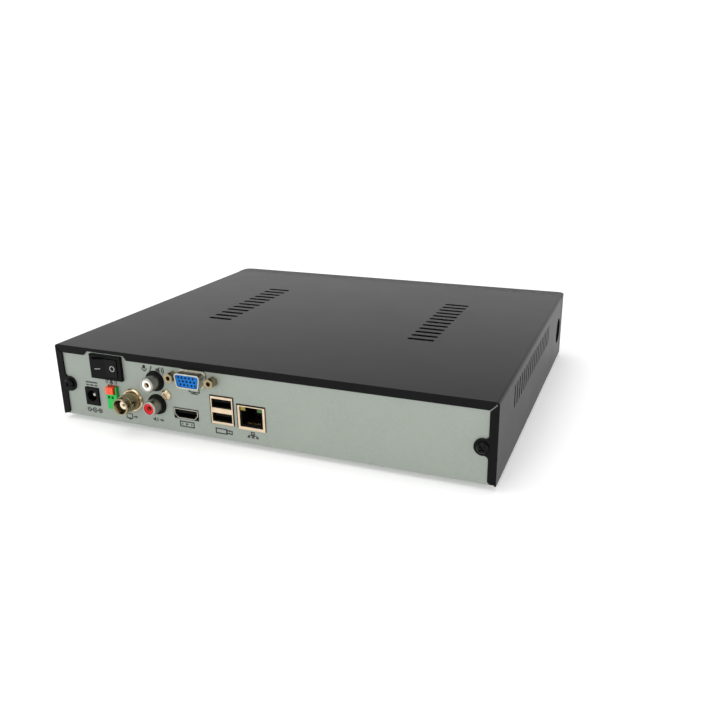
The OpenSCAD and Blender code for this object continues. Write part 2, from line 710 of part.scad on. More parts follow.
module usb_tongues() color("#131314") raised() on_panel([usb_x, usb_z]) for (side = [-1, 1])
    translate([0, 0, side * 3.95]) span([-5.5, -usb_len + 1.6, 0.1], [5.5, -1.2, 2]);

// The metal shell of the network socket
module lan_shell() color("#cbbfa4") raised() on_panel([lan_x, lan_z]) difference() {
    span([-lan_w / 2, -lan_len + 0.8, -lan_h / 2], [lan_w / 2, 0.8, lan_h / 2]);
    span([-lan_w / 2 + 1.2, -lan_len + 1.4, -lan_h / 2 + 1.6], [lan_w / 2 - 1.2, 2, lan_h / 2 - 0.5]);
}

// The black insert of the network socket, with its latch notch at the top
module lan_insert() color("#0f0f10") raised() on_panel([lan_x, lan_z]) difference() {
    span([-6.8, -lan_len + 1.4, -5.1], [6.8, 0.2, 6.2]);
    span([-5.9, -12, -4.1], [5.9, 1, 3.5]);
    span([-3.1, -12, 3.4], [3.1, 1, 7]);
    for (side = [-1, 1]) translate([side * 5, 0, 4.9]) span([-1.5, -3, -1], [1.5, 1, 2]);
}

// The eight gold contacts along the bottom of the network socket
module lan_contacts() color("#caa24a") raised() on_panel([lan_x, lan_z]) for (i = [0 : 7])
    translate([(i - 3.5) * 1.02, 0, -4.1]) span([-0.2, -9, 0], [0.2, -2, 0.4]);

// One square lamp in an upper corner of the network socket
module lan_led(side) raised() on_panel([lan_x + side * 5, lan_z + 4.9])
    span([-1.4, -3, -0.9], [1.4, 0.3, 1.2]);

module lan_led_yellow() color("#b39a1e") lan_led(1);

module lan_led_green() color("#3f7a2e") lan_led(-1);

// The main circuit board
module main_board() color("#1c5234") raised() difference() {
    span([board_x0, board_y0, board_z - pcb_t], [board_x1, board_y1, board_z]);
    for (place = board_holes) translate(place) cylinder(r = 1.7, h = board_z + 1);
}

// Hexagonal pillars pressed into the floor
module board_standoffs() color("#c9b06a") raised() for (place = board_holes)
    translate([place[0], place[1], sheet_t]) difference() {
        cylinder(r = 3.2, h = board_z - pcb_t - sheet_t, $fn = 6);
        translate([0, 0, 1]) cylinder(r = 1.45, h = board_z);
    }

module board_screws() color("#c4c6c8") raised() for (place = board_holes)
    translate([place[0], place[1], board_z]) rotate([90, 0, 0]) pan_screw(2.9, 1.8, 1.35, 5);

// The processor, the memory and the program store
module chips() color("#1a1a1c") raised() translate([chip_x, chip_y, board_z]) {
    span([-12, -12, 0], [12, 12, 1.6]);
    for (x = [-33, 24], y = [-13, 2]) translate([x, y, 0]) cube([9, 11, 1.1]);
    translate([-3, -25, 0]) cube([6, 5, 1.4]);
}

// The finned heatsink bonded to the processor
module heatsink() color("#2f3a4a") raised() {
    fins = 9;
    size = 30;
    fin_t = 1.2;
    translate([chip_x - size / 2, chip_y - size / 2, board_z + 1.6]) {
        cube([size, size, 2.5]);
        for (i = [0 : fins - 1]) translate([i * (size - fin_t) / (fins - 1), 0, 2.4])
            cube([fin_t, size, 8]);
    }
}

// Power inductors in front of the jack
module inductors() color("#3b3b3f") raised() for (i = [0 : 2])
    translate([board_x1 - 12, board_y0 + 14 + i * 13, board_z]) {
        span([-4, -4, 0], [4, 4, 1]);
        cylinder(r = 3.8, h = 4.2);
    }

module capacitors() color("#20242c") raised() for (x = [0, 9], y = [0, 10])
    translate([board_x1 - 33 + x, board_y0 + 9 + y, board_z]) cylinder(r = 3.2, h = 9.5);

// The clock battery, lying flat on the board
module coin_battery() color("#c8cacc") raised() translate([board_x0 + 16, board_y0 + 16, board_z]) {
    cylinder(r = 9.8, h = 2.6);
    translate([0, 0, 2.5]) cylinder(r = 8.6, h = 0.6);
}

// The sockets on the main board for the drive, the front board and the switch
module board_headers() color("#e6e2d2") raised() {
    translate([sata_at[0], sata_at[1], board_z]) span([-8.5, -3, 0], [8.5, 3, 8.6]);
    for (place = header_places) translate([place[0], place[1], board_z]) difference() {
        span([-5, -2.9, 0], [5, 2.9, 6.5]);
        span([-4.2, -2.1, 1.5], [4.2, 2.1, 7]);
    }
}

// The plugs on the ends of the inside cables
module cable_plugs() color("#242426") raised() {
    translate([sata_at[0], sata_at[1], board_z + 8.6]) span([-7.5, -2.4, 0], [7.5, 2.4, 9]);
    for (place = header_places) translate([place[0], place[1], board_z + 1.5])
        span([-4, -1.9, 0], [4, 1.9, 8]);
    translate([drive_data_x, drive_back_y, drive_plug_z]) span([-7.5, 0, -2.4], [7.5, 9, 2.4]);
    translate([drive_power_x, drive_back_y, drive_plug_z]) span([-11, 0, -2.4], [11, 9, 2.4]);
    translate([front_plug_x, front_board_y + pcb_t, front_plug_z]) span([-4, 0, -1.9], [4, 7, 1.9]);
    translate([switch_x, panel_y - switch_body_l, switch_z]) span([-7, -8, -3], [7, 0, 3]);
}

module data_cable() color("#b3322c") raised() cable(data_route, 2.2, [1, 1, -1]);

module drive_power_cable() color("#c9a92a") raised() cable(drive_power_route, 1.9, [1, 1, -1]);

module switch_leads() color("#8d1f1f") raised() cable(switch_route, 1.5, [1, 0, 0]);

module front_board_cable() color("#9a9a98") raised() cable(panel_route, 1.6, [1, 0, 0]);

// The drive's own place: its Z 0 is the underside of the drive
module in_drive() raised() translate([-drive_x, -drive_y, drive_z]) children();

// The cast base of the disk drive, hollow above for the disks and below for its board
module drive_base() color("#8c9094") in_drive() difference() {
    span([-drive_w / 2, -drive_l / 2, 0], [drive_w / 2, drive_l / 2, sealed_z1]);
    translate([0, spindle_y, sealed_z0]) cylinder(r = platter_r + 1.3, h = drive_h);
    span([-45, -70, sealed_z0], [45, 0, drive_h]);
    span([-43, -62, -1], [43, 60, 3.4]);
    span([-12, 54, -1], [32, drive_l / 2 + 1, drive_socket_z1]);
    for (sx = [-1, 1], sy = [-1, 1]) translate([sx * drive_hole_dx, sy * drive_hole_dy, -1])
        cylinder(r = drive_screw_r + 0.1, h = 6);
}

module drive_lid() color("#b9bcbf") in_drive()
    span([-drive_w / 2 + 1, -drive_l / 2 + 1, sealed_z1], [drive_w / 2 - 1, drive_l / 2 - 1, drive_h]);

// The two disks, their hub and the spindle
module drive_platters() color("#c9cdd1") in_drive() translate([0, spindle_y, sealed_z0]) {
    translate([0, 0, 0.3]) cylinder(r = 9, h = 15);
    for (z = [3, 9.5]) translate([0, 0, z]) cylinder(r = platter_r, h = 1.3);
    translate([0, 0, 10.5]) cylinder(r = 15, h = 4.5);
}

// The head arm: pivot hub, two arms, heads and the coil behind
module drive_arm() color("#a9adb0") in_drive() translate([arm_pivot[0], arm_pivot[1], sealed_z0]) {
    translate([0, 0, 0.3]) cylinder(r = 6, h = 15);
    rotate([0, 0, arm_rest]) {
        for (z = [5.6, 11.6]) translate([0, 0, z]) linear_extrude(1.1)
            polygon([[0, -5], [arm_len, -1.5], [arm_len, 1.5], [0, 5]]);
        translate([0, 0, 5.2]) linear_extrude(3) polygon([[0, -5], [0, 5], [-20, 8], [-20, -8]]);
    }
}

// The magnet plates above and below the coil
module drive_magnet() color("#6d7074") in_drive() translate([0, 0, sealed_z0]) {
    for (z = [0, 9.5]) span([22, -69, z], [44, -50, z + 4]);
    span([22, -69, 0], [44, -67.5, 13.5]);
}

// The drive's own board, with the connector that shows at its end
module drive_board() color("#1d4f6b") in_drive() {
    span([-42, -61, 1.8], [42, 55, 3.4]);
    span([-11, 54.9, 1.8], [31, drive_l / 2, drive_socket_z1]);
}

// The four screws that hold the drive from under the floor
module drive_screws() color("#c4c6c8") raised() for (place = drive_holes)
    translate([place[0], place[1], boss_h]) rotate([-90, 0, 0]) pan_screw(3.2, 1.8, drive_screw_r, 5);

top_cover();
cover_screws();
chassis();
front_bezel();
ir_window();
ir_receiver();
status_leds();
front_board();
rubber_feet();
switch_frame();
switch_rocker();
power_jack();
power_jack_pin();
terminal_block();
terminal_lever_left();
terminal_lever_right();
bnc_shell();
bnc_nut();
bnc_insulator();
bnc_contact();
rca_block();
rca_shells();
rca_insert_white();
rca_insert_red();
rca_contacts();
rca_screw();
vga_shell();
vga_insert();
vga_housing();
vga_jackscrews();
hdmi_shell();
hdmi_tongue();
usb_shell();
usb_tongues();
lan_shell();
lan_insert();
lan_contacts();
lan_led_yellow();
lan_led_green();
main_board();
board_standoffs();
board_screws();
chips();
heatsink();
inductors();
capacitors();
coin_battery();
board_headers();
cable_plugs();
data_cable();
drive_power_cable();
switch_leads();
front_board_cable();
drive_base();
drive_lid();
drive_platters();
drive_arm();
drive_magnet();
drive_board();
drive_screws();
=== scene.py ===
"""The looks of a small desktop video recorder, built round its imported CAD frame."""
import json
import math
import random

import bmesh
import bpy
from mathutils import Matrix, Vector


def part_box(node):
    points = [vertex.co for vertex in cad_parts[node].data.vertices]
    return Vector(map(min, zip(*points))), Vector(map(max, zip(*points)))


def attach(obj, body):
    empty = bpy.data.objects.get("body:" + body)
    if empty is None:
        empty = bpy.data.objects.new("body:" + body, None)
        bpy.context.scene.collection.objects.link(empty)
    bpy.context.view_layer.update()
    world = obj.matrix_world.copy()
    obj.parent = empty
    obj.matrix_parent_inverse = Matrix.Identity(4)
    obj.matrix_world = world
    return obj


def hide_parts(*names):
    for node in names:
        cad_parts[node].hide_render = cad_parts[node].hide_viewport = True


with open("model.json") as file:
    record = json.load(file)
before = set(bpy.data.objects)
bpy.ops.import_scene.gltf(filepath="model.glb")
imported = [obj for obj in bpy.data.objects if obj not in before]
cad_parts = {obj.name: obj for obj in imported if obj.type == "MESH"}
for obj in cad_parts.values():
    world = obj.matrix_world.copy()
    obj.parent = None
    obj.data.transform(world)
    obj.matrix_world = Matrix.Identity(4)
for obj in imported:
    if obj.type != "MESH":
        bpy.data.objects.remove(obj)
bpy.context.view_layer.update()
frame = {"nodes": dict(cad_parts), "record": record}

MM = 0.001


# ---------------------------------------------------------------- camera, stage and light

CAMERA_AZIMUTH = math.radians(202.12)
CAMERA_ELEVATION = math.radians(19.1)
CAMERA_ROLL = math.radians(-0.76)
CAMERA_PLACE = Vector((-0.1859, 0.4126, 0.1735))
CAMERA_LENS = 37.3
FLOOR_RADIUS = 9
FLOOR_TONE = 0.86
FLOOR_GLOW = 0.2
# strength of the surround by height, from the horizon (0) to overhead (1)
SURROUND_STOPS = ((0, 1.7), (0.21, 1.6), (0.34, 0.85), (0.6, 0.8), (1, 1.0))


def add_camera():
    """The camera looks at the rear panel from its right, a little from above."""
    back = Vector((
        math.sin(CAMERA_AZIMUTH) * math.cos(CAMERA_ELEVATION),
        -math.cos(CAMERA_AZIMUTH) * math.cos(CAMERA_ELEVATION),
        math.sin(CAMERA_ELEVATION),
    ))
    level = Vector((0, 0, 1)).cross(back).normalized()
    raised = back.cross(level)
    right = level * math.cos(CAMERA_ROLL) + raised * math.sin(CAMERA_ROLL)
    up = raised * math.cos(CAMERA_ROLL) - level * math.sin(CAMERA_ROLL)
    data = bpy.data.cameras.new("camera")
    data.lens = CAMERA_LENS
    data.sensor_width = 36
    data.clip_start = 0.01
    camera = bpy.data.objects.new("camera", data)
    camera.matrix_world = Matrix.Translation(CAMERA_PLACE) @ Matrix((right, up, back)).transposed().to_4x4()
    bpy.context.scene.collection.objects.link(camera)
    bpy.context.scene.camera = camera


def add_area_light(name, place, target, size, power):
    """A round white lamp turned towards target."""
    data = bpy.data.lights.new(name, "AREA")
    data.shape = "DISK"
    data.size = size
    data.energy = power
    light = bpy.data.objects.new(name, data)
    light.location = place
    light.rotation_mode = "QUATERNION"
    light.rotation_quaternion = (Vector(target) - Vector(place)).to_track_quat("-Z", "Y")
    bpy.context.scene.collection.objects.link(light)


def add_surround(stops):
    """A white surround whose strength follows the stops, pairs of height and strength."""
    world = bpy.data.worlds.new("surround")
    world.use_nodes = True
    nodes, links = world.node_tree.nodes, world.node_tree.links
    direction = nodes.new("ShaderNodeTexCoord").outputs["Generated"]
    split = nodes.new("ShaderNodeSeparateXYZ")
    links.new(direction, split.inputs["Vector"])
    ramp = nodes.new("ShaderNodeFloatCurve")
    curve = ramp.mapping.curves[0]
    peak = max(strength for _, strength in stops)
    while len(curve.points) < len(stops):
        curve.points.new(0.5, 0.5)
    for point, (height, strength) in zip(curve.points, stops):
        point.location = (height, strength / peak)
    ramp.mapping.update()
    links.new(split.outputs["Z"], ramp.inputs["Value"])
    scale = nodes.new("ShaderNodeMath")
    scale.operation = "MULTIPLY"
    scale.inputs[1].default_value = peak
    links.new(ramp.outputs["Value"], scale.inputs[0])
    background = nodes["Background"]
    background.inputs["Color"].default_value = (1, 1, 1, 1)
    links.new(scale.outputs["Value"], background.inputs["Strength"])
    bpy.context.scene.world = world


def add_floor():
    """A round pale floor, wide enough to meet the white surround."""
    bm = bmesh.new()
    bmesh.ops.create_circle(bm, cap_ends=True, segments=96, radius=FLOOR_RADIUS)
    data = bpy.data.meshes.new("floor")
    bm.to_mesh(data)
    bm.free()
    material = bpy.data.materials.new("pale_floor")
    material.use_nodes = True
    shader = material.node_tree.nodes["Principled BSDF"]
    shader.inputs["Base Color"].default_value = (FLOOR_TONE, FLOOR_TONE, FLOOR_TONE, 1)
    shader.inputs["Roughness"].default_value = 0.7
    shader.inputs["Specular IOR Level"].default_value = 0.2
    shader.inputs["Emission Color"].default_value = (1, 1, 1, 1)
    shader.inputs["Emission Strength"].default_value = FLOOR_GLOW
    data.materials.append(material)
    floor = bpy.data.objects.new("floor", data)
    bpy.context.scene.collection.objects.link(floor)


def add_lights():
    add_surround(SURROUND_STOPS)
    add_area_light("overhead", place=(0.25, 0.1, 1.3), target=(0, 0, 0), size=1.2, power=4)
    add_area_light("low_front", place=(0.1, 1.5, 0.42), target=(0, 0.1, 0), size=0.9, power=10)


# ---------------------------------------------------------------- materials

class Finish:
    """One material: a Principled shader fed by patterns in the part's own space."""

    def __init__(self, name, roughness, metallic=0.0, ior=1.5):
        self.material = bpy.data.materials.new(name)
        self.material.use_nodes = True
        self.nodes = self.material.node_tree.nodes
        self.links = self.material.node_tree.links
        self.shader = self.nodes["Principled BSDF"]
        self.shader.inputs["Metallic"].default_value = metallic
        self.shader.inputs["IOR"].default_value = ior
        self.shader.inputs["Roughness"].default_value = roughness
        self.roughness = roughness
        self.place = self.nodes.new("ShaderNodeTexCoord").outputs["Object"]
        self.normal = None

    def noise(self, size, stretch=(1, 1, 1), detail=2.0):
        """Noise whose lumps are about size wide, drawn out along the axes with a small stretch."""
        mapping = self.nodes.new("ShaderNodeMapping")
        mapping.inputs["Scale"].default_value = [share / size for share in stretch]
        self.links.new(self.place, mapping.inputs["Vector"])
        noise = self.nodes.new("ShaderNodeTexNoise")
        noise.inputs["Scale"].default_value = 1.0
        noise.inputs["Detail"].default_value = detail
        self.links.new(mapping.outputs["Vector"], noise.inputs["Vector"])
        return noise.outputs["Fac"]

    def spread(self, pattern, low, high, start=0.3, end=0.7):
        """The pattern's middle range stretched to run from low to high."""
        mapped = self.nodes.new("ShaderNodeMapRange")
        mapped.inputs["From Min"].default_value = start
        mapped.inputs["From Max"].default_value = end
        mapped.inputs["To Min"].default_value = low
        mapped.inputs["To Max"].default_value = high
        self.links.new(pattern, mapped.inputs["Value"])
        return mapped.outputs["Result"]

    def blend(self, share, first, second):
        """A colour between first and second; either may be a colour or another blend."""
        mix = self.nodes.new("ShaderNodeMix")
        mix.data_type = "RGBA"
        self.links.new(share, mix.inputs["Factor"])
        for colour, key in ((first, "A"), (second, "B")):
            socket = next(s for s in mix.inputs if s.name == key and s.type == "RGBA")
            if isinstance(colour, tuple):
                socket.default_value = (*colour, 1)
            else:
                self.links.new(colour, socket)
        return next(s for s in mix.outputs if s.type == "RGBA")

    def colour(self, output):
        self.links.new(output, self.shader.inputs["Base Color"])

    def rough(self, pattern, swing):
        self.links.new(
            self.spread(pattern, self.roughness - swing, self.roughness + swing),
            self.shader.inputs["Roughness"],
        )

    def round_edges(self, radius):
        """Sharp edges catch the light as if they were rounded."""
        bevel = self.nodes.new("ShaderNodeBevel")
        bevel.samples = 4
        bevel.inputs["Radius"].default_value = radius
        self.normal = bevel.outputs["Normal"]
        self.links.new(self.normal, self.shader.inputs["Normal"])

    def bump(self, pattern, depth):
        bump = self.nodes.new("ShaderNodeBump")
        bump.inputs["Distance"].default_value = depth
        bump.inputs["Strength"].default_value = 1.0
        self.links.new(pattern, bump.inputs["Height"])
        if self.normal is not None:
            self.links.new(self.normal, bump.inputs["Normal"])
        self.normal = bump.outputs["Normal"]
        self.links.new(self.normal, self.shader.inputs["Normal"])

    def edge_mask(self, radius, size):
        """Near 1 along sharp edges, broken up by noise; 0 elsewhere."""
        bevel = self.nodes.new("ShaderNodeBevel")
        bevel.samples = 4
        bevel.inputs["Radius"].default_value = radius
        geometry = self.nodes.new("ShaderNodeNewGeometry")
        dot = self.nodes.new("ShaderNodeVectorMath")
        dot.operation = "DOT_PRODUCT"
        self.links.new(bevel.outputs["Normal"], dot.inputs[0])
        self.links.new(geometry.outputs["True Normal"], dot.inputs[1])
        # share of the lighter edge colour: partly wear, partly a painted highlight along sharp edges
        edge_wear_and_highlight = self.spread(dot.outputs["Value"], 1.0, 0.0, 0.8, 0.98)
        product = self.nodes.new("ShaderNodeMath")
        product.operation = "MULTIPLY"
        self.links.new(edge_wear_and_highlight, product.inputs[0])
        self.links.new(self.spread(self.noise(size), 0.0, 1.0, 0.45, 0.65), product.inputs[1])
        return product.outputs["Value"]


def shade(colour, share):
    """The colour, lighter for a share over 1 and darker under it."""
    return tuple(min(1.0, channel * share) for channel in colour)


def powder_coat():
    """Fine satin black coat on the steel cover: tiny grains, a faint cloudiness, and edges painted paler,
    partly as wear and partly as a painted highlight.
    """
    finish = Finish("black_powder_coat", 0.35, ior=1.18)
    tone = (0.0022, 0.0022, 0.0023)
    cloudy = finish.blend(finish.spread(finish.noise(40 * MM), 0, 1), shade(tone, 0.85), shade(tone, 1.15))
    speckled = finish.blend(finish.spread(finish.noise(0.5 * MM), 0, 1, 0.5, 0.72), cloudy, shade(tone, 2.5))
    # edges painted five times paler: partly wear, partly a painted highlight
    finish.colour(finish.blend(finish.edge_mask(0.3 * MM, 3 * MM), speckled, shade(tone, 5)))
    finish.rough(finish.noise(18 * MM, detail=4), 0.008)
    finish.round_edges(0.35 * MM)
    finish.bump(finish.noise(0.35 * MM, detail=1), 0.008 * MM)
    finish.bump(finish.noise(2.2 * MM), 0.006 * MM)
    return finish


def zinc_sheet():
    """Pale grey-green zinc coated steel: a fine even mottle with soft, faint patches."""
    finish = Finish("galvanised_sheet", 0.5, metallic=0.35)
    tone = (0.219, 0.245, 0.215)
    patches = finish.spread(finish.noise(18 * MM, detail=3), 0, 1)
    cloudy = finish.blend(patches, shade(tone, 0.97), shade(tone, 1.04))
    mottle = finish.spread(finish.noise(0.7 * MM, detail=2), 0, 1)
    finish.colour(finish.blend(mottle, cloudy, shade(tone, 1.09)))
    finish.rough(finish.noise(4 * MM), 0.04)
    finish.round_edges(0.15 * MM)
    finish.bump(finish.noise(0.5 * MM), 0.0015 * MM)
    return finish


def moulded(name, tone, roughness, grain=0.3 * MM, depth=0.004 * MM, radius=0.2 * MM, ior=1.46, swing=0.05):
    """Moulded plastic or rubber: fine spark-eroded grain, faint colour drift, softened edges, and a painted
    sheen that lightens the colour along the edges.
    """
    finish = Finish(name, roughness, ior=ior)
    drift = finish.blend(finish.spread(finish.noise(9 * MM), 0, 1), shade(tone, 0.9), shade(tone, 1.1))
    # painted sheen: the colour is made 1.6 times lighter along sharp edges
    finish.colour(finish.blend(finish.edge_mask(radius, 2 * MM), drift, shade(tone, 1.6)))
    finish.rough(finish.noise(4 * MM, detail=3), swing)
    finish.round_edges(radius)
    finish.bump(finish.noise(grain, detail=1), depth)
    return finish


def plated(name, tone, roughness, dark=0.75, radius=0.15 * MM, turned=0.35 * MM, swing=0.08):
    """Plated or bare metal: fine tool marks, dull stains and a painted highlight that brightens the edges.
    """
    finish = Finish(name, roughness, metallic=1.0)
    stains = finish.spread(finish.noise(4 * MM, detail=2), 0, 1, 0.35, 0.7)
    stained = finish.blend(stains, tone, shade(tone, dark))
    # painted highlight: the colour is made 1.35 times brighter along sharp edges
    finish.colour(finish.blend(finish.edge_mask(radius, 1.5 * MM), stained, shade(tone, 1.35)))
    finish.rough(finish.noise(1.4 * MM, detail=3), swing)
    finish.round_edges(radius)
    finish.bump(finish.noise(turned, (0.25, 1, 1)), 0.0008 * MM)
    return finish


def cast_metal(name, tone, roughness):
    """Cast aluminium, bead blasted."""
    finish = Finish(name, roughness, metallic=0.9)
    patches = finish.spread(finish.noise(6 * MM, detail=4), 0, 1)
    finish.colour(finish.blend(patches, shade(tone, 0.85), shade(tone, 1.1)))
    finish.rough(finish.noise(2 * MM), 0.05)
    finish.round_edges(0.4 * MM)
    finish.bump(finish.noise(0.3 * MM, detail=2), 0.02 * MM)
    return finish


def solder_mask(name, tone):
    """Glossy lacquer over fibreglass: the weave and copper fields show faintly."""
    finish = Finish(name, 0.28)
    weave = finish.noise(0.5 * MM, (0.2, 1, 1), detail=1)
    copper = finish.spread(finish.noise(7 * MM, detail=0), 0, 1, 0.5, 0.54)
    woven = finish.blend(finish.spread(weave, 0, 1), shade(tone, 0.85), shade(tone, 1.15))
    finish.colour(finish.blend(copper, woven, shade(tone, 1.5)))
    finish.rough(finish.noise(3 * MM), 0.06)
    finish.bump(weave, 0.004 * MM)
    return finish


def mirror_disk():
    finish = Finish("disk_mirror", 0.06, metallic=1.0)
    tone = (0.78, 0.79, 0.81)
    finish.colour(finish.blend(finish.spread(finish.noise(25 * MM), 0, 1), shade(tone, 0.97), tone))
    finish.rough(finish.noise(4 * MM), 0.02)
    finish.round_edges(0.1 * MM)
    return finish


FINISHES = {
    "black_powder_coat": powder_coat(),
    "black_screw": plated("black_screw", (0.014, 0.014, 0.015), 0.3, radius=0.12 * MM),
    "galvanised_sheet": zinc_sheet(),
    "bezel_plastic": moulded(
        "bezel_plastic", (0.011, 0.011, 0.012), 0.5, depth=0.01 * MM, radius=0.3 * MM, ior=1.35
    ),
    "window_plastic": moulded("window_plastic", (0.03, 0.004, 0.006), 0.08, depth=0.0005 * MM, swing=0.02),
    "receiver_epoxy": moulded("receiver_epoxy", (0.012, 0.012, 0.015), 0.15, depth=0.001 * MM),
    "led_lens": moulded("led_lens", (0.68, 0.76, 0.66), 0.12, depth=0.001 * MM),
    "board_green": solder_mask("board_green", (0.012, 0.085, 0.04)),
    "foot_rubber": moulded("foot_rubber", (0.02, 0.02, 0.02), 0.75, depth=0.02 * MM),
    "switch_black": moulded("switch_black", (0.0028, 0.0028, 0.0028), 0.42, radius=0.12 * MM, ior=1.15),
    "rocker_black": moulded(
        "rocker_black", (0.0028, 0.0028, 0.003), 0.3, depth=0.002 * MM, radius=0.15 * MM, ior=1.2
    ),
    "jack_black": moulded("jack_black", (0.003, 0.003, 0.003), 0.42, ior=1.17),
    "pin_nickel": plated("pin_nickel", (0.5, 0.49, 0.46), 0.2, dark=0.85),
    "terminal_green": moulded("terminal_green", (0.012, 0.34, 0.055), 0.42, ior=1.35),
    "lever_orange": moulded("lever_orange", (0.85, 0.075, 0.02), 0.34),
    "warm_nickel": plated("warm_nickel", (0.34, 0.28, 0.17), 0.24, dark=0.84, swing=0.04),
    "insulator_white": moulded("insulator_white", (0.8, 0.72, 0.58), 0.45),
    "contact_brass": plated("contact_brass", (0.78, 0.53, 0.2), 0.22, dark=0.8),
    "socket_nickel": plated("socket_nickel", (0.36, 0.36, 0.32), 0.3, dark=0.88, swing=0.03),
    "insert_white": moulded("insert_white", (0.7, 0.7, 0.68), 0.4),
    "insert_red": moulded("insert_red", (0.5, 0.006, 0.012), 0.42, ior=1.3),
    "screw_brass": plated("screw_brass", (0.68, 0.56, 0.38), 0.22, dark=0.85),
    "tin_plate": plated("tin_plate", (0.52, 0.5, 0.43), 0.3, dark=0.85, swing=0.04),
    "warm_tin_plate": plated("warm_tin_plate", (0.7, 0.56, 0.4), 0.36, dark=0.85),
    "insert_blue": moulded("insert_blue", (0.002, 0.1, 0.34), 0.5, ior=1.25),
    "insert_black": moulded("insert_black", (0.002, 0.002, 0.002), 0.45, ior=1.15),
    "lamp_yellow": moulded("lamp_yellow", (0.19, 0.155, 0.01), 0.18, depth=0.001 * MM),
    "lamp_green": moulded("lamp_green", (0.021, 0.08, 0.013), 0.18, depth=0.001 * MM),
    "standoff_brass": plated("standoff_brass", (0.66, 0.5, 0.24), 0.3),
    "zinc_screw": plated("zinc_screw", (0.62, 0.63, 0.64), 0.28),
    "chip_epoxy": moulded("chip_epoxy", (0.018, 0.018, 0.02), 0.5, depth=0.006 * MM),
    "heatsink_anodised": cast_metal("heatsink_anodised", (0.03, 0.05, 0.09), 0.4),
    "capacitor_sleeve": moulded("capacitor_sleeve", (0.012, 0.016, 0.03), 0.25),
    "battery_steel": plated("battery_steel", (0.66, 0.66, 0.67), 0.22),
    "header_ivory": moulded("header_ivory", (0.75, 0.7, 0.56), 0.45),
    "cable_red": moulded("cable_red", (0.5, 0.025, 0.02), 0.36),
    "cable_yellow": moulded("cable_yellow", (0.62, 0.42, 0.03), 0.38),
    "cable_grey": moulded("cable_grey", (0.36, 0.36, 0.35), 0.45),
    "drive_casting": cast_metal("drive_casting", (0.26, 0.27, 0.29), 0.42),
    "drive_lid_steel": plated("drive_lid_steel", (0.42, 0.43, 0.45), 0.3, dark=0.9),
    "disk_mirror": mirror_disk(),
    "arm_aluminium": cast_metal("arm_aluminium", (0.55, 0.56, 0.57), 0.3),
    "magnet_steel": plated("magnet_steel", (0.3, 0.31, 0.32), 0.35),
    "board_blue": solder_mask("board_blue", (0.008, 0.045, 0.09)),
    "panel_ink": moulded("panel_ink", (0.012, 0.013, 0.013), 0.5, depth=0.001 * MM, radius=0.02 * MM),
    "rocker_ink": moulded("rocker_ink", (0.3, 0.3, 0.29), 0.5, depth=0.001 * MM, radius=0.02 * MM),
    "bezel_ink": moulded("bezel_ink", (0.4, 0.4, 0.4), 0.5, depth=0.001 * MM, radius=0.02 * MM),
    "board_trace": solder_mask("board_trace", (0.02, 0.14, 0.065)),
    "winding_copper": plated("winding_copper", (0.75, 0.3, 0.13), 0.25, dark=0.8),
    "wire_black": moulded("wire_black", (0.01, 0.01, 0.01), 0.4),
}


def paint_nodes():
    """Every CAD node takes the finish of its own material slot."""
    for part in frame["record"]["subparts"]:
        node = frame["nodes"][part["node"]]
        node.data.materials.clear()
        node.data.materials.append(FINISHES[part["material_slot"]].material)


# ---------------------------------------------------------------- building meshes

INK_DEPTH = 0.03 * MM


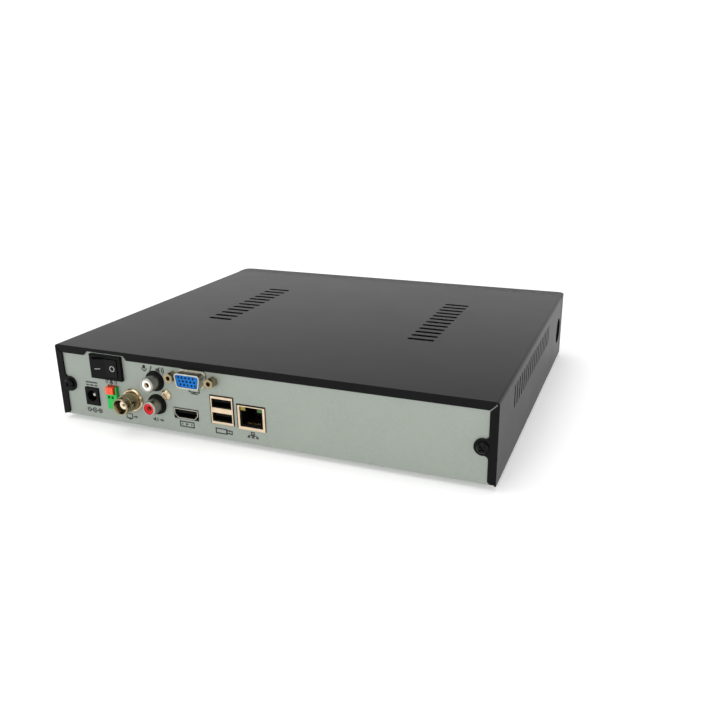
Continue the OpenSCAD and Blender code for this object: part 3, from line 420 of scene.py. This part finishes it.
class Build:
    """A mesh put together from simple closed solids, in metres, in the frame of the CAD."""

    def __init__(self):
        self.bm = bmesh.new()

    def prism(self, outline, depth):
        """The solid between an outline and its copy moved along depth."""
        near = [self.bm.verts.new(point) for point in outline]
        far = [self.bm.verts.new(Vector(point) + depth) for point in outline]
        self.bm.faces.new(reversed(near))
        self.bm.faces.new(far)
        for i in range(len(near)):
            j = (i + 1) % len(near)
            self.bm.faces.new((near[i], near[j], far[j], far[i]))

    def box(self, low, high):
        low, high = Vector(low), Vector(high)
        outline = [
            (low.x, low.y, low.z),
            (high.x, low.y, low.z),
            (high.x, high.y, low.z),
            (low.x, high.y, low.z),
        ]
        self.prism(outline, Vector((0, 0, high.z - low.z)))

    def sweep(self, path, outline, closed=False, side=Vector((0, 0, 1))):
        """Carries a flat outline of (across, over) pairs along a path of points."""
        rings = []
        last = len(path) - 1
        for i, point in enumerate(path):
            before = path[i - 1] if closed or i else path[i]
            after = path[(i + 1) % len(path)] if closed or i < last else path[i]
            ahead = (after - before).normalized()
            across = ahead.cross(side).normalized()
            over = ahead.cross(across)
            rings.append([self.bm.verts.new(point + across * a + over * b) for a, b in outline])
        count = len(outline)
        for i in range(len(rings) if closed else last):
            ring, following = rings[i], rings[(i + 1) % len(rings)]
            for k in range(count):
                j = (k + 1) % count
                self.bm.faces.new((ring[k], ring[j], following[j], following[k]))
        if not closed:
            self.bm.faces.new(reversed(rings[0]))
            self.bm.faces.new(rings[-1])

    def tube(self, path, radius, sides=10, closed=False, side=Vector((0, 0, 1))):
        self.sweep(path, circle(radius, sides), closed, side)

    def lathe(self, centre, axis, profile, steps=32):
        """Turns a closed profile of (radius, height) pairs about an axis through centre."""
        axis = Vector(axis).normalized()
        across = axis.orthogonal().normalized()
        over = axis.cross(across)
        rings = []
        for i in range(steps):
            angle = math.tau * i / steps
            out = across * math.cos(angle) + over * math.sin(angle)
            rings.append([self.bm.verts.new(Vector(centre) + out * r + axis * h) for r, h in profile])
        for i in range(steps):
            ring, following = rings[i], rings[(i + 1) % steps]
            for k in range(len(profile)):
                j = (k + 1) % len(profile)
                self.bm.faces.new((ring[k], ring[j], following[j], following[k]))

    def finish(self, name, finish, slot, body="case", bevel=0.0, smooth=False):
        """Closes the mesh off as one named piece that moves with a body."""
        bmesh.ops.remove_doubles(self.bm, verts=self.bm.verts, dist=1e-7)
        bmesh.ops.recalc_face_normals(self.bm, faces=self.bm.faces)
        data = bpy.data.meshes.new(name)
        self.bm.to_mesh(data)
        self.bm.free()
        data.materials.append(finish.material)
        if smooth:
            data.shade_smooth()
        piece = bpy.data.objects.new(name, data)
        bpy.context.scene.collection.objects.link(piece)
        if bevel:
            rounding = piece.modifiers.new("rounding", "BEVEL")
            rounding.width = bevel
            rounding.segments = 2
            rounding.limit_method = "ANGLE"
        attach(piece, body)
        return piece


def circle(radius, sides):
    return [
        (radius * math.cos(math.tau * k / sides), radius * math.sin(math.tau * k / sides))
        for k in range(sides)
    ]


def washer(inner, outer, height):
    """The profile of a flat ring, from radii and a height in millimetres."""
    return [(inner * MM, 0), (outer * MM, 0), (outer * MM, height * MM), (inner * MM, height * MM)]


class Drawing:
    """Flat printed strokes on a surface.

    A place is (right, up) in millimetres from the middle, before scale; weight thickens the strokes.
    """

    def __init__(self, build, middle, right, up, depth=INK_DEPTH, scale=1.0, weight=1.0):
        self.build = build
        self.scale = scale
        self.weight = weight
        self.middle = Vector(middle)
        self.right = Vector(right).normalized()
        self.up = Vector(up).normalized()
        self.out = self.right.cross(self.up) * depth

    def at(self, place):
        return self.middle + (self.right * place[0] + self.up * place[1]) * self.scale * MM - self.out * 0.3

    def shape(self, places):
        self.build.prism([self.at(place) for place in places], self.out)

    def line(self, start, end, width=0.35):
        ahead = Vector((end[0] - start[0], end[1] - start[1])).normalized()
        side = Vector((-ahead.y, ahead.x)) * width * self.weight / 2
        start, end = Vector(start), Vector(end)
        self.shape([start - side, end - side, end + side, start + side])

    def path(self, places, width=0.35, closed=False):
        ends = places[1:] + places[:1] if closed else places[1:]
        for start, end in zip(places, ends):
            reach = (Vector(end) - Vector(start)).normalized() * width * self.weight / 2
            self.line(Vector(start) - reach, Vector(end) + reach, width)

    def frame(self, low, high, width=0.35):
        self.path([low, (high[0], low[1]), high, (low[0], high[1])], width, closed=True)

    def panel(self, low, high):
        self.shape([low, (high[0], low[1]), high, (low[0], high[1])])

    def disc(self, place, radius, sides=20):
        self.shape([(place[0] + x, place[1] + y) for x, y in circle(radius, sides)])

    def arc(self, place, radius, width=0.35, first=0.0, turn=360.0, steps=28):
        """A ring, or a part of one, as a run of short blocks."""
        for i in range(steps):
            a = math.radians(first + turn * i / steps)
            b = math.radians(first + turn * (i + 1) / steps)
            inner, outer = (radius + side * width * self.weight / 2 for side in (-1, 1))
            self.shape([
                (place[0] + r * math.cos(angle), place[1] + r * math.sin(angle))
                for r, angle in ((inner, a), (outer, a), (outer, b), (inner, b))
            ])


def middle(node):
    low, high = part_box(node)
    return (low + high) / 2


def top(node):
    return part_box(node)[1].z


# ---------------------------------------------------------------- printed marks

PANEL_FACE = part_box("chassis")[1].y
CASE_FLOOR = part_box("chassis")[0].z
# where the middle of the case lies along Y: its rear face is 107.5 mm from that middle
ROW_SHIFT = PANEL_FACE - 107.5 * MM
# the rocker at rest leans by the tilt, and each half falls by the slope towards the valley between them
ROCKER_TILT = math.radians(12)
ROCKER_SLOPE = math.atan2(1.3, 7.3)
# millimetres from the pivot to the valley, and from the valley to the middle of a mark
VALLEY_REACH = 2.7
MARK_REACH = 4.4


def direct_current(mark):
    """A bar over three dashes."""
    mark.line((-3.6, 0.9), (3.6, 0.9), 0.55)
    for i in (-1, 0, 1):
        mark.line((i * 2.6 - 0.9, -0.6), (i * 2.6 + 0.9, -0.6), 0.55)


def pole_signs(mark):
    """The outer pole, the centre and the inner pole of a round plug."""
    mark.arc((0, 0), 1.15, 0.45, 30, 300)
    mark.disc((0, 0), 0.5)
    mark.line((-2.4, 0), (-1.3, 0), 0.4)
    mark.line((0.4, 0), (2.4, 0), 0.4)
    for side in (-1, 1):
        mark.arc((side * 3.5, 0), 1.05, 0.4)
        mark.line((side * 3.5 - 0.6, 0), (side * 3.5 + 0.6, 0), 0.35)
    mark.line((3.5, -0.6), (3.5, 0.6), 0.35)


def bell(mark):
    mark.shape([(-1.3, -0.7), (1.3, -0.7), (0.9, 0), (0.7, 1), (0, 1.4), (-0.7, 1), (-0.9, 0)])
    mark.disc((0, -1.05), 0.35, 12)
    for side in (-1, 1):
        first = -40 if side > 0 else 140
        mark.arc((side * 1.2, 0.3), 1.1, 0.35, first, 80, 8)
        mark.arc((side * 1.5, 0.3), 1.8, 0.35, first, 80, 8)


def outward_arrow(mark, x):
    mark.line((x, 0), (x + 1.5, 0), 0.45)
    mark.shape([(x + 1.3, -0.8), (x + 2.7, 0), (x + 1.3, 0.8)])


def microphone_and_loudspeaker(mark):
    mark.panel((-6.6, -0.2), (-5, 1))
    mark.disc((-5.8, 1), 0.8)
    mark.arc((-5.8, 0.2), 1.4, 0.4, 180, 180, 12)
    mark.line((-5.8, -1.2), (-5.8, -1.8), 0.4)
    mark.line((-2.6, -1.6), (-1.4, 1.6), 0.45)
    mark.shape([(1, -0.7), (2, -0.7), (3.3, -1.7), (3.3, 1.7), (2, 0.7), (1, 0.7)])
    for radius in (1.3, 2.3):
        mark.arc((3.2, 0), radius, 0.45, -45, 90, 10)


def screen_out(mark):
    mark.frame((-3.6, -1.1), (-0.2, 1.3), 0.4)
    mark.line((-2.9, -1.6), (-0.9, -1.6), 0.4)
    outward_arrow(mark, 0.5)


def sound_out(mark):
    mark.shape([(-3.4, -0.5), (-2.7, -0.5), (-1.8, -1.3), (-1.8, 1.3), (-2.7, 0.5), (-3.4, 0.5)])
    mark.arc((-1.9, 0), 1.2, 0.4, -45, 90, 8)
    outward_arrow(mark, 0.4)


def desk_screen(mark):
    mark.frame((-2.8, -0.5), (2.8, 1.3), 0.45)
    mark.line((0, -0.6), (0, -1.2), 0.6)
    mark.line((-1.9, -1.35), (1.9, -1.35), 0.45)


def wide_screen(mark):
    mark.frame((-3.9, -1.3), (3.9, 1.3), 0.45)
    mark.shape([(-0.7, -0.8), (0.9, 0), (-0.7, 0.8)])
    for side in (-1, 1):
        mark.line((side * 2.6, -0.5), (side * 2.6, 0.5), 0.4)


def memory_stick(mark):
    mark.frame((-4.4, -1.2), (1.4, 1.2), 0.45)
    mark.frame((1.6, -0.8), (4.4, 0.8), 0.4)
    for side in (-1, 1):
        mark.panel((2.6, side * 0.35 - 0.15), (3.3, side * 0.35 + 0.15))


def joined_boxes(mark):
    mark.frame((-0.8, 0.3), (0.8, 1.4), 0.35)
    mark.line((0, 0.3), (0, -0.3), 0.35)
    mark.line((-2.3, -0.3), (2.3, -0.3), 0.35)
    for x in (-2.3, 0, 2.3):
        mark.line((x, -0.3), (x, -0.7), 0.35)
        mark.panel((x - 0.7, -1.6), (x + 0.7, -0.7))


def print_panel(finish):
    """Generic pictograms beside the sockets of the rear panel."""
    build = Build()

    def mark(x, z):
        return Drawing(build, (x, PANEL_FACE, z), (-1, 0, 0), (0, 0, 1), scale=1.12, weight=1.4)

    jack_x = middle("power_jack").x
    terminal_x = middle("terminal_block").x
    video_x = middle("bnc_nut").x + 2 * MM
    audio_x = middle("rca_shells").x
    foot_z = CASE_FLOOR + 5.2 * MM
    direct_current(mark(jack_x, top("power_jack") + 2.2 * MM))
    pole_signs(mark(jack_x, CASE_FLOOR + 4.6 * MM))
    bell(mark(terminal_x + 0.8 * MM, top("terminal_block") + 2 * MM))
    screen_out(mark(video_x, CASE_FLOOR + 4.5 * MM))
    microphone_and_loudspeaker(mark(audio_x, top("rca_block") + 0.6 * MM))
    sound_out(mark(audio_x, foot_z))
    desk_screen(mark(middle("vga_shell").x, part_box("vga_shell")[0].z - 1.2 * MM))
    wide_screen(mark(middle("hdmi_shell").x, foot_z))
    memory_stick(mark(middle("usb_shell").x, CASE_FLOOR + 4.6 * MM))
    joined_boxes(mark(middle("lan_shell").x, foot_z))
    build.finish("panel_print", finish, "black_powder_coat")


def print_rocker(finish):
    """The bar for on and the ring for off, on the two halves of the rocker."""
    joint = next(j for j in frame["record"]["behaviour"]["joints"] if j["name"] == "switch_rock")
    pivot = Vector(joint["pos_m"])
    build = Build()
    for side in (1, -1):
        along = ROCKER_TILT + side * ROCKER_SLOPE
        right = Vector((-math.cos(along), -math.sin(along), 0))
        valley = pivot + Vector((-math.sin(ROCKER_TILT), math.cos(ROCKER_TILT), 0)) * VALLEY_REACH * MM
        face = Drawing(build, valley - right * side * MARK_REACH * MM, right, (0, 0, 1))
        if side > 0:
            face.line((-1.5, -0.3), (1.5, -0.3), 0.4)
        else:
            face.arc((0, 0), 1.45, 0.4)
    build.finish("rocker_marks", finish, "insert_white", body="rocker")


def print_bezel(finish):
    """Small marks over the three status lamps: power, store and network."""
    low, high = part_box("status_leds")
    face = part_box("front_bezel")[0].y
    build = Build()
    for i in range(3):
        x = low.x + (high.x - low.x) * (i + 0.5) / 3
        mark = Drawing(build, (x, face, high.z + 3.2 * MM), (1, 0, 0), (0, 0, 1))
        if i == 0:
            mark.arc((0, 0), 1.1, 0.3, 120, 300)
            mark.line((0, 0.3), (0, 1.5), 0.3)
        elif i == 1:
            mark.arc((0, 0.5), 1.1, 0.3, 0, 180, 12)
            mark.frame((-1.1, -1), (1.1, 0.5), 0.3)
        else:
            joined_boxes(mark)
    build.finish("bezel_marks", finish, "cable_grey")


# ---------------------------------------------------------------- socket contacts

# the sleeves of the monitor socket, in millimetres: along a row, between rows, and each row's stagger
SLEEVE_PITCH = 2.29
SLEEVE_ROW_PITCH = 1.98
SLEEVE_STAGGER = 0.57
SLEEVE_SHIFT = 0.2


def add_socket_contacts():
    """The small contacts and springs that show inside the rear sockets."""
    gold = FINISHES["contact_brass"]
    build = Build()
    low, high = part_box("usb_tongues")
    width = high.x - low.x
    for tongue_z in (low.z, high.z - 1.9 * MM):
        for i in range(4):
            x = low.x + width * (0.17 + 0.22 * i)
            build.box(
                (x - 0.5 * MM, high.y - 8 * MM, tongue_z - 0.12 * MM),
                (x + 0.5 * MM, high.y - 0.8 * MM, tongue_z),
            )
    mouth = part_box("hdmi_tongue")[1].y
    tongue_top = middle("hdmi_shell").z + 1.4 * MM
    for i in range(10):
        x = middle("hdmi_shell").x + (i - 4.5) * MM
        build.box(
            (x - 0.2 * MM, mouth - 7 * MM, tongue_top),
            (x + 0.2 * MM, mouth - 0.9 * MM, tongue_top + 0.1 * MM),
        )
    build.finish("socket_contacts", gold, "contact_brass")

    sleeves = Build()
    centre = middle("vga_insert")
    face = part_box("vga_insert")[1].y
    for row in (-1, 0, 1):
        for i in range(-2, 3):
            x = centre.x + (i * SLEEVE_PITCH + row * SLEEVE_STAGGER + SLEEVE_SHIFT) * MM
            at = (x, face - 3.4 * MM, centre.z + row * SLEEVE_ROW_PITCH * MM)
            sleeves.lathe(at, (0, 1, 0), washer(0.4, 0.62, 2.2), 10)
    sleeves.finish("monitor_socket_sleeves", gold, "contact_brass")


def add_bus_socket_shade_sheets():
    """Dark sheets that line the two serial bus sockets behind their mouths: painted shade, put where the
    insides of the sockets fall into shadow.
    """
    build = Build()
    tongues = middle("usb_tongues")
    tongue_low, tongue_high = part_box("usb_tongues")
    back, mouth = tongue_low.y + 1 * MM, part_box("usb_shell")[1].y - 1.4 * MM
    wall = 0.15 * MM
    for tongue_z in (tongue_low.z, tongue_high.z - 1.9 * MM):
        low = Vector((tongues.x - 6 * MM, back, tongue_z - 2.6 * MM))
        high = Vector((tongues.x + 6 * MM, mouth, tongue_z + 2.4 * MM))
        build.box(low, (high.x, high.y, low.z + wall))
        build.box((low.x, low.y, high.z - wall), high)
        build.box(low, (low.x + wall, high.y, high.z))
        build.box((high.x - wall, low.y, low.z), high)
    # dark sheets standing in for the shade inside the sockets
    build.finish("bus_socket_shade_sheets", FINISHES["insert_black"], "insert_black")


# ---------------------------------------------------------------- main board

BOARD_TOP = top("main_board")
BOARD_LOW, BOARD_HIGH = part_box("main_board")
ON_BOARD = (
    "inductors", "capacitors", "coin_battery", "power_jack", "terminal_block", "bnc_shell", "rca_block",
    "vga_housing", "hdmi_shell", "usb_shell", "lan_shell",
)
# the first attempts place small chips, which need more room than the parts placed after them
CHIP_ATTEMPTS = 60
PLACING_ATTEMPTS = 900
CHIP_GAP = 3.6
PART_GAP = 1.3
# corners of the memory chips, in millimetres from the middle of the heatsink
LEGGED_CHIPS = ((-33, -13), (-33, 2), (24, -13), (24, 2))
# plugs, screws and the program store, in millimetres from the middle of the case
BUSY_SPOTS = (
    (4, 74), (-8, 60), (94, 70), (30, 27), (-10.5, 30), (113.8, 28), (-10.5, 98), (114, 98), (45, 30),
)


def taken_places():
    """Boxes of the board that other parts stand on."""
    places = [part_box(node) for node in ON_BOARD]
    centre = middle("heatsink")
    places.append((centre + Vector((-16, -16, 0)) * MM, centre + Vector((16, 16, 0)) * MM))
    for x, y in LEGGED_CHIPS:
        places.append((centre + Vector((x - 2, y - 1, 0)) * MM, centre + Vector((x + 11, y + 12, 0)) * MM))
    for x, y in BUSY_SPOTS:
        spot = Vector((x * MM, y * MM + ROW_SHIFT, 0))
        places.append((spot + Vector((-10, -5, 0)) * MM, spot + Vector((10, 5, 0)) * MM))
    return places


def is_free(x, y, places, gap):
    return all(
        x < low.x - gap or x > high.x + gap or y < low.y - gap or y > high.y + gap
        for low, high in places
    )


def add_small_parts():
    """Resistors, capacitors and small chips soldered all over the main board."""
    draw = random.Random(11)
    places = taken_places()
    bodies, ends, legs, packages = Build(), Build(), Build(), Build()
    spots = []
    for attempt in range(PLACING_ATTEMPTS):
        x = draw.uniform(BOARD_LOW.x + 4 * MM, BOARD_HIGH.x - 4 * MM)
        y = draw.uniform(BOARD_LOW.y + 4 * MM, BOARD_HIGH.y - 4 * MM)
        big = attempt < CHIP_ATTEMPTS
        gap = (CHIP_GAP if big else PART_GAP) * MM
        turned = draw.random() < 0.5
        clear = all(abs(x - a) > gap + b or abs(y - c) > gap + b for a, c, b in spots)
        if not clear or not is_free(x, y, places, gap):
            continue
        spots.append((x, y, gap))
        if big:
            add_small_chip(packages, legs, x, y)
        else:
            add_chip_part(bodies, ends, x, y, turned)
    bodies.finish("board_small_parts", FINISHES["chip_epoxy"], "chip_epoxy")
    ends.finish("board_small_part_ends", FINISHES["pin_nickel"], "pin_nickel")
    packages.finish("board_small_chips", FINISHES["chip_epoxy"], "chip_epoxy", bevel=0.1 * MM)
    centre = middle("heatsink")
    for chip_x, chip_y in LEGGED_CHIPS:
        for i in range(10):
            y = centre.y + (chip_y + 1 + i) * MM
            for x, side in ((chip_x, -1), (chip_x + 9, 1)):
                add_leg(legs, centre.x + x * MM, y, side, 0.7 * MM)
    legs.finish("board_chip_legs", FINISHES["pin_nickel"], "pin_nickel")


def add_leg(build, x, y, side, height):
    """One bent leg that goes out from a package and down to the board."""
    build.prism(
        [
            (x, y - 0.18 * MM, BOARD_TOP + height),
            (x + side * 0.5 * MM, y - 0.18 * MM, BOARD_TOP + height),
            (x + side * 0.7 * MM, y - 0.18 * MM, BOARD_TOP + 0.15 * MM),
            (x + side * 1.3 * MM, y - 0.18 * MM, BOARD_TOP + 0.15 * MM),
            (x + side * 1.3 * MM, y - 0.18 * MM, BOARD_TOP),
            (x + side * 0.5 * MM, y - 0.18 * MM, BOARD_TOP),
            (x + side * 0.3 * MM, y - 0.18 * MM, BOARD_TOP + height - 0.15 * MM),
            (x, y - 0.18 * MM, BOARD_TOP + height - 0.15 * MM),
        ],
        Vector((0, 0.36 * MM, 0)),
    )


def add_small_chip(packages, legs, x, y):
    packages.box(
        (x - 2 * MM, y - 2.5 * MM, BOARD_TOP + 0.1 * MM),
        (x + 2 * MM, y + 2.5 * MM, BOARD_TOP + 1.4 * MM),
    )
    for i in range(4):
        for side in (-1, 1):
            add_leg(legs, x + side * 2 * MM, y + (i - 1.5) * 1.27 * MM, side, 0.8 * MM)


def add_chip_part(bodies, ends, x, y, turned):
    """A two-ended part: a dark body between two bright ends."""
    half_x, half_y = (0.45, 0.85) if turned else (0.85, 0.45)
    bodies.box(
        (x - half_x * MM, y - half_y * MM, BOARD_TOP),
        (x + half_x * MM, y + half_y * MM, BOARD_TOP + 0.5 * MM),
    )
    for side in (-1, 1):
        dx, dy = (0, side * 0.7) if turned else (side * 0.7, 0)
        ex, ey = (0.5, 0.22) if turned else (0.22, 0.5)
        ends.box(
            (x + (dx - ex) * MM, y + (dy - ey) * MM, BOARD_TOP),
            (x + (dx + ex) * MM, y + (dy + ey) * MM, BOARD_TOP + 0.55 * MM),
        )


def add_traces():
    """Copper tracks under the lacquer, run straight and at half right angles."""
    draw = random.Random(5)
    build = Build()
    for _ in range(70):
        x = draw.uniform(BOARD_LOW.x + 12 * MM, BOARD_HIGH.x - 12 * MM)
        y = draw.uniform(BOARD_LOW.y + 8 * MM, BOARD_HIGH.y - 30 * MM)
        run, slant, rest = (draw.uniform(3, 9) for _ in range(3))
        lanes = draw.randint(2, 6)
        flip = draw.choice((-1, 1))
        for lane in range(lanes):
            sheet = Drawing(build, (x, y + lane * 0.6 * MM, BOARD_TOP), (1, 0, 0), (0, 1, 0), 0.015 * MM)
            corner = (run - flip * lane * 0.25, 0)
            end = (corner[0] + slant * 0.7, flip * slant * 0.7)
            sheet.path([(0, 0), corner, end, (end[0] + rest, end[1])], 0.26)
    build.finish("board_traces", FINISHES["board_trace"], "board_green")


def add_power_parts():
    """Windings on the inductors, vents on the capacitors, the clip of the battery."""
    copper = Build()
    ring = circle(3.85 * MM, 28)
    core_x = middle("inductors").x
    for i in range(3):
        core_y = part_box("inductors")[0].y + 4 * MM + i * 13 * MM
        for turn in range(5):
            level = BOARD_TOP + (1.4 + turn * 0.55) * MM
            path = [Vector((core_x + a, core_y + b, level)) for a, b in ring]
            copper.tube(path, 0.24 * MM, 8, closed=True)
    copper.finish("inductor_windings", FINISHES["winding_copper"], "contact_brass", smooth=True)

    caps, vents = Build(), Build()
    low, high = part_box("capacitors")
    for x in (low.x + 3.2 * MM, high.x - 3.2 * MM):
        for y in (low.y + 3.2 * MM, high.y - 3.2 * MM):
            caps.lathe((x, y, high.z), (0, 0, 1), washer(0.05, 2.6, 0.08), 28)
            vent = Drawing(vents, (x, y, high.z + 0.08 * MM), (1, 0, 0), (0, 1, 0), 0.02 * MM)
            vent.line((-2.1, 0), (2.1, 0), 0.2)
            vent.line((0, -2.1), (0, 2.1), 0.2)
    caps.finish("capacitor_tops", FINISHES["pin_nickel"], "pin_nickel")
    vents.finish("capacitor_vents", FINISHES["capacitor_sleeve"], "capacitor_sleeve")

    clip = Build()
    centre = middle("coin_battery")
    battery_top = top("coin_battery")
    for side in (-1, 1):
        clip.box(
            (centre.x + side * 10.6 * MM - 0.5 * MM, centre.y - 2 * MM, BOARD_TOP),
            (centre.x + side * 10.6 * MM + 0.5 * MM, centre.y + 2 * MM, battery_top + 0.3 * MM),
        )
    clip.box(
        (centre.x - 11.1 * MM, centre.y - 2 * MM, battery_top),
        (centre.x + 11.1 * MM, centre.y + 2 * MM, battery_top + 0.3 * MM),
    )
    clip.finish("battery_clip", FINISHES["pin_nickel"], "pin_nickel", bevel=0.08 * MM)
    sign = Build()
    plus = Drawing(sign, (centre.x, centre.y + 5 * MM, battery_top), (1, 0, 0), (0, 1, 0), 0.04 * MM)
    plus.line((-1.2, 0), (1.2, 0), 0.4)
    plus.line((0, -1.2), (0, 1.2), 0.4)
    sign.finish("battery_sign", FINISHES["magnet_steel"], "magnet_steel")


# ---------------------------------------------------------------- disk drive

def add_drive_details():
    """Star screws, the raised spindle dish, the breather and a blank label on the drive's lid."""
    low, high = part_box("drive_lid")
    centre = middle("drive_lid")
    screws, dish, label, bars = Build(), Build(), Build(), Build()
    for x in (low.x + 4 * MM, high.x - 4 * MM):
        for y in (low.y + 5 * MM, centre.y, high.y - 5 * MM):
            head = [(0.9 * MM, 0), (2.4 * MM, 0), (2.2 * MM, 0.5 * MM), (0.9 * MM, 0.5 * MM)]
            screws.lathe((x, y, high.z), (0, 0, 1), head, 24)
    spindle = middle("drive_platters")
    rise = [(44 * MM, 0), (46 * MM, 0), (45.4 * MM, 0.5 * MM), (43.4 * MM, 0.5 * MM)]
    dish.lathe((spindle.x, spindle.y, high.z), (0, 0, 1), rise, 64)
    breather = [(1.2 * MM, 0), (3.6 * MM, 0), (3.4 * MM, 0.3 * MM), (1.2 * MM, 0.3 * MM)]
    dish.lathe((high.x - 14 * MM, low.y + 14 * MM, high.z), (0, 0, 1), breather, 28)
    label.box(
        (centre.x - 34 * MM, centre.y - 66 * MM, high.z),
        (centre.x + 26 * MM, centre.y - 28 * MM, high.z + 0.1 * MM),
    )
    draw = random.Random(3)
    sheet = Drawing(bars, (centre.x, centre.y, high.z + 0.1 * MM), (1, 0, 0), (0, 1, 0), 0.02 * MM)
    x = -30.0
    while x < 8:
        wide = draw.choice((0.4, 0.7, 1.1))
        sheet.panel((x, -62), (x + wide, -54))
        x += wide + draw.choice((0.5, 0.9))
    sheet.frame((-31, -50), (23, -39), 0.4)
    sheet.panel((-31, -36), (23, -31))
    screws.finish("drive_lid_screws", FINISHES["zinc_screw"], "zinc_screw", bevel=0.1 * MM)
    dish.finish("drive_lid_pressings", FINISHES["drive_lid_steel"], "drive_lid_steel")
    label.finish("drive_label", FINISHES["insert_white"], "insert_white")
    bars.finish("drive_label_marks", FINISHES["cable_grey"], "cable_grey")


# ---------------------------------------------------------------- inside cables

def smooth_route(route, steps=8):
    """A smooth line through points given in millimetres from the middle, above the underside."""
    points = [Vector((x * MM, y * MM + ROW_SHIFT, z * MM + CASE_FLOOR)) for x, y, z in route]
    line = []
    last = len(points) - 1
    for i in range(last):
        a, b, c, d = points[max(i - 1, 0)], points[i], points[i + 1], points[min(i + 2, last)]
        for k in range(steps):
            t = k / steps
            line.append(0.5 * (
                2 * b + (c - a) * t + (2 * a - 5 * b + 4 * c - d) * t * t + (3 * b - a - 3 * c + d) * t ** 3
            ))
    return line + [points[last]]


SLOTS = {part["material_slot"] for part in frame["record"]["subparts"]}
DATA_ROUTE = (
    (4, 74, 25.6), (4, 74, 30), (-3, 77, 34), (-18, 84, 33), (-34, 90, 24), (-46, 89, 13),
    (-50, 82, 8), (-50, 74, 7.8), (-50, 67.5, 7.8),
)
DRIVE_POWER_ROUTE = (
    (-8, 60, 17.5), (-8, 60, 20.5), (-14, 65, 23), (-34, 76, 20), (-56, 84, 13), (-68, 83, 8.5),
    (-70, 76, 7.8), (-70, 67.5, 7.8),
)
SWITCH_ROUTE = (
    (92.4, 85.5, 32.6), (92.4, 80, 32.6), (93, 74, 29), (94, 70.5, 23), (94, 70, 20), (94, 70, 17.5),
)
PANEL_ROUTE = (
    (30, 27, 17.5), (30, 27, 20), (30, 20, 22), (32, 6, 16), (36, -20, 6), (40, -56, 5),
    (42, -74, 11), (42, -84, 20), (42, -91.4, 20),
)


def add_wire(build, route, side, offset, radius, twist=0.0):
    """One wire of a bundle: offset sideways from the route, wound round it by twist turns."""
    line = smooth_route(route)
    last = len(line) - 1
    path = []
    for i, point in enumerate(line):
        ahead = (line[min(i + 1, last)] - line[max(i - 1, 0)]).normalized()
        across = ahead.cross(side).normalized()
        over = ahead.cross(across)
        angle = math.tau * twist * i / last
        turned_a = offset[0] * math.cos(angle) - offset[1] * math.sin(angle)
        turned_b = offset[0] * math.sin(angle) + offset[1] * math.cos(angle)
        path.append(point + (across * turned_a + over * turned_b) * MM)
    build.tube(path, radius * MM, 12, side=side)


def add_cables():
    """Each inside cable as the wires it is made of, in the place of its plain solid."""
    slant = Vector((1, 1, -1)).normalized()
    level = Vector((1, 0, 0))
    bundles = (
        ("data_cable", DATA_ROUTE, slant, 0, 0.95, (
            ("cable_red", (-1.1, -0.55)), ("cable_red", (1.1, -0.55)), ("cable_red", (0, 0.95)),
        )),
        ("drive_power_cable", DRIVE_POWER_ROUTE, slant, 1.5, 0.75, (
            ("cable_yellow", (-0.8, -0.8)), ("cable_red", (0.8, 0.8)),
            ("wire_black", (-0.8, 0.8)), ("wire_black", (0.8, -0.8)),
        )),
        ("switch_leads", SWITCH_ROUTE, level, 1.0, 0.72, (
            ("cable_red", (-0.75, 0)), ("wire_black", (0.75, 0)),
        )),
        ("front_board_cable", PANEL_ROUTE, level, 2.0, 0.55, (
            ("cable_grey", (1.0, 0)), ("cable_grey", (-0.5, 0.87)), ("wire_black", (-0.5, -0.87)),
            ("cable_grey", (0, 0)),
        )),
    )
    for node, route, side, twist, radius, wires in bundles:
        for colour in sorted({colour for colour, _ in wires}):
            build = Build()
            for wire_colour, offset in wires:
                if wire_colour == colour:
                    add_wire(build, route, side, offset, radius, twist)
            slot = colour if colour in SLOTS else "capacitor_sleeve"
            piece = build.finish(f"{node}_{colour}", FINISHES[colour], slot, smooth=True)
            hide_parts(node)


# ---------------------------------------------------------------- the scene

add_camera()
add_floor()
add_lights()
paint_nodes()
print_panel(FINISHES["panel_ink"])
print_rocker(FINISHES["rocker_ink"])
print_bezel(FINISHES["bezel_ink"])
add_socket_contacts()
add_bus_socket_shade_sheets()
add_traces()
add_small_parts()
add_power_parts()
add_drive_details()
add_cables()
bpy.context.scene.view_settings.view_transform = "Standard"
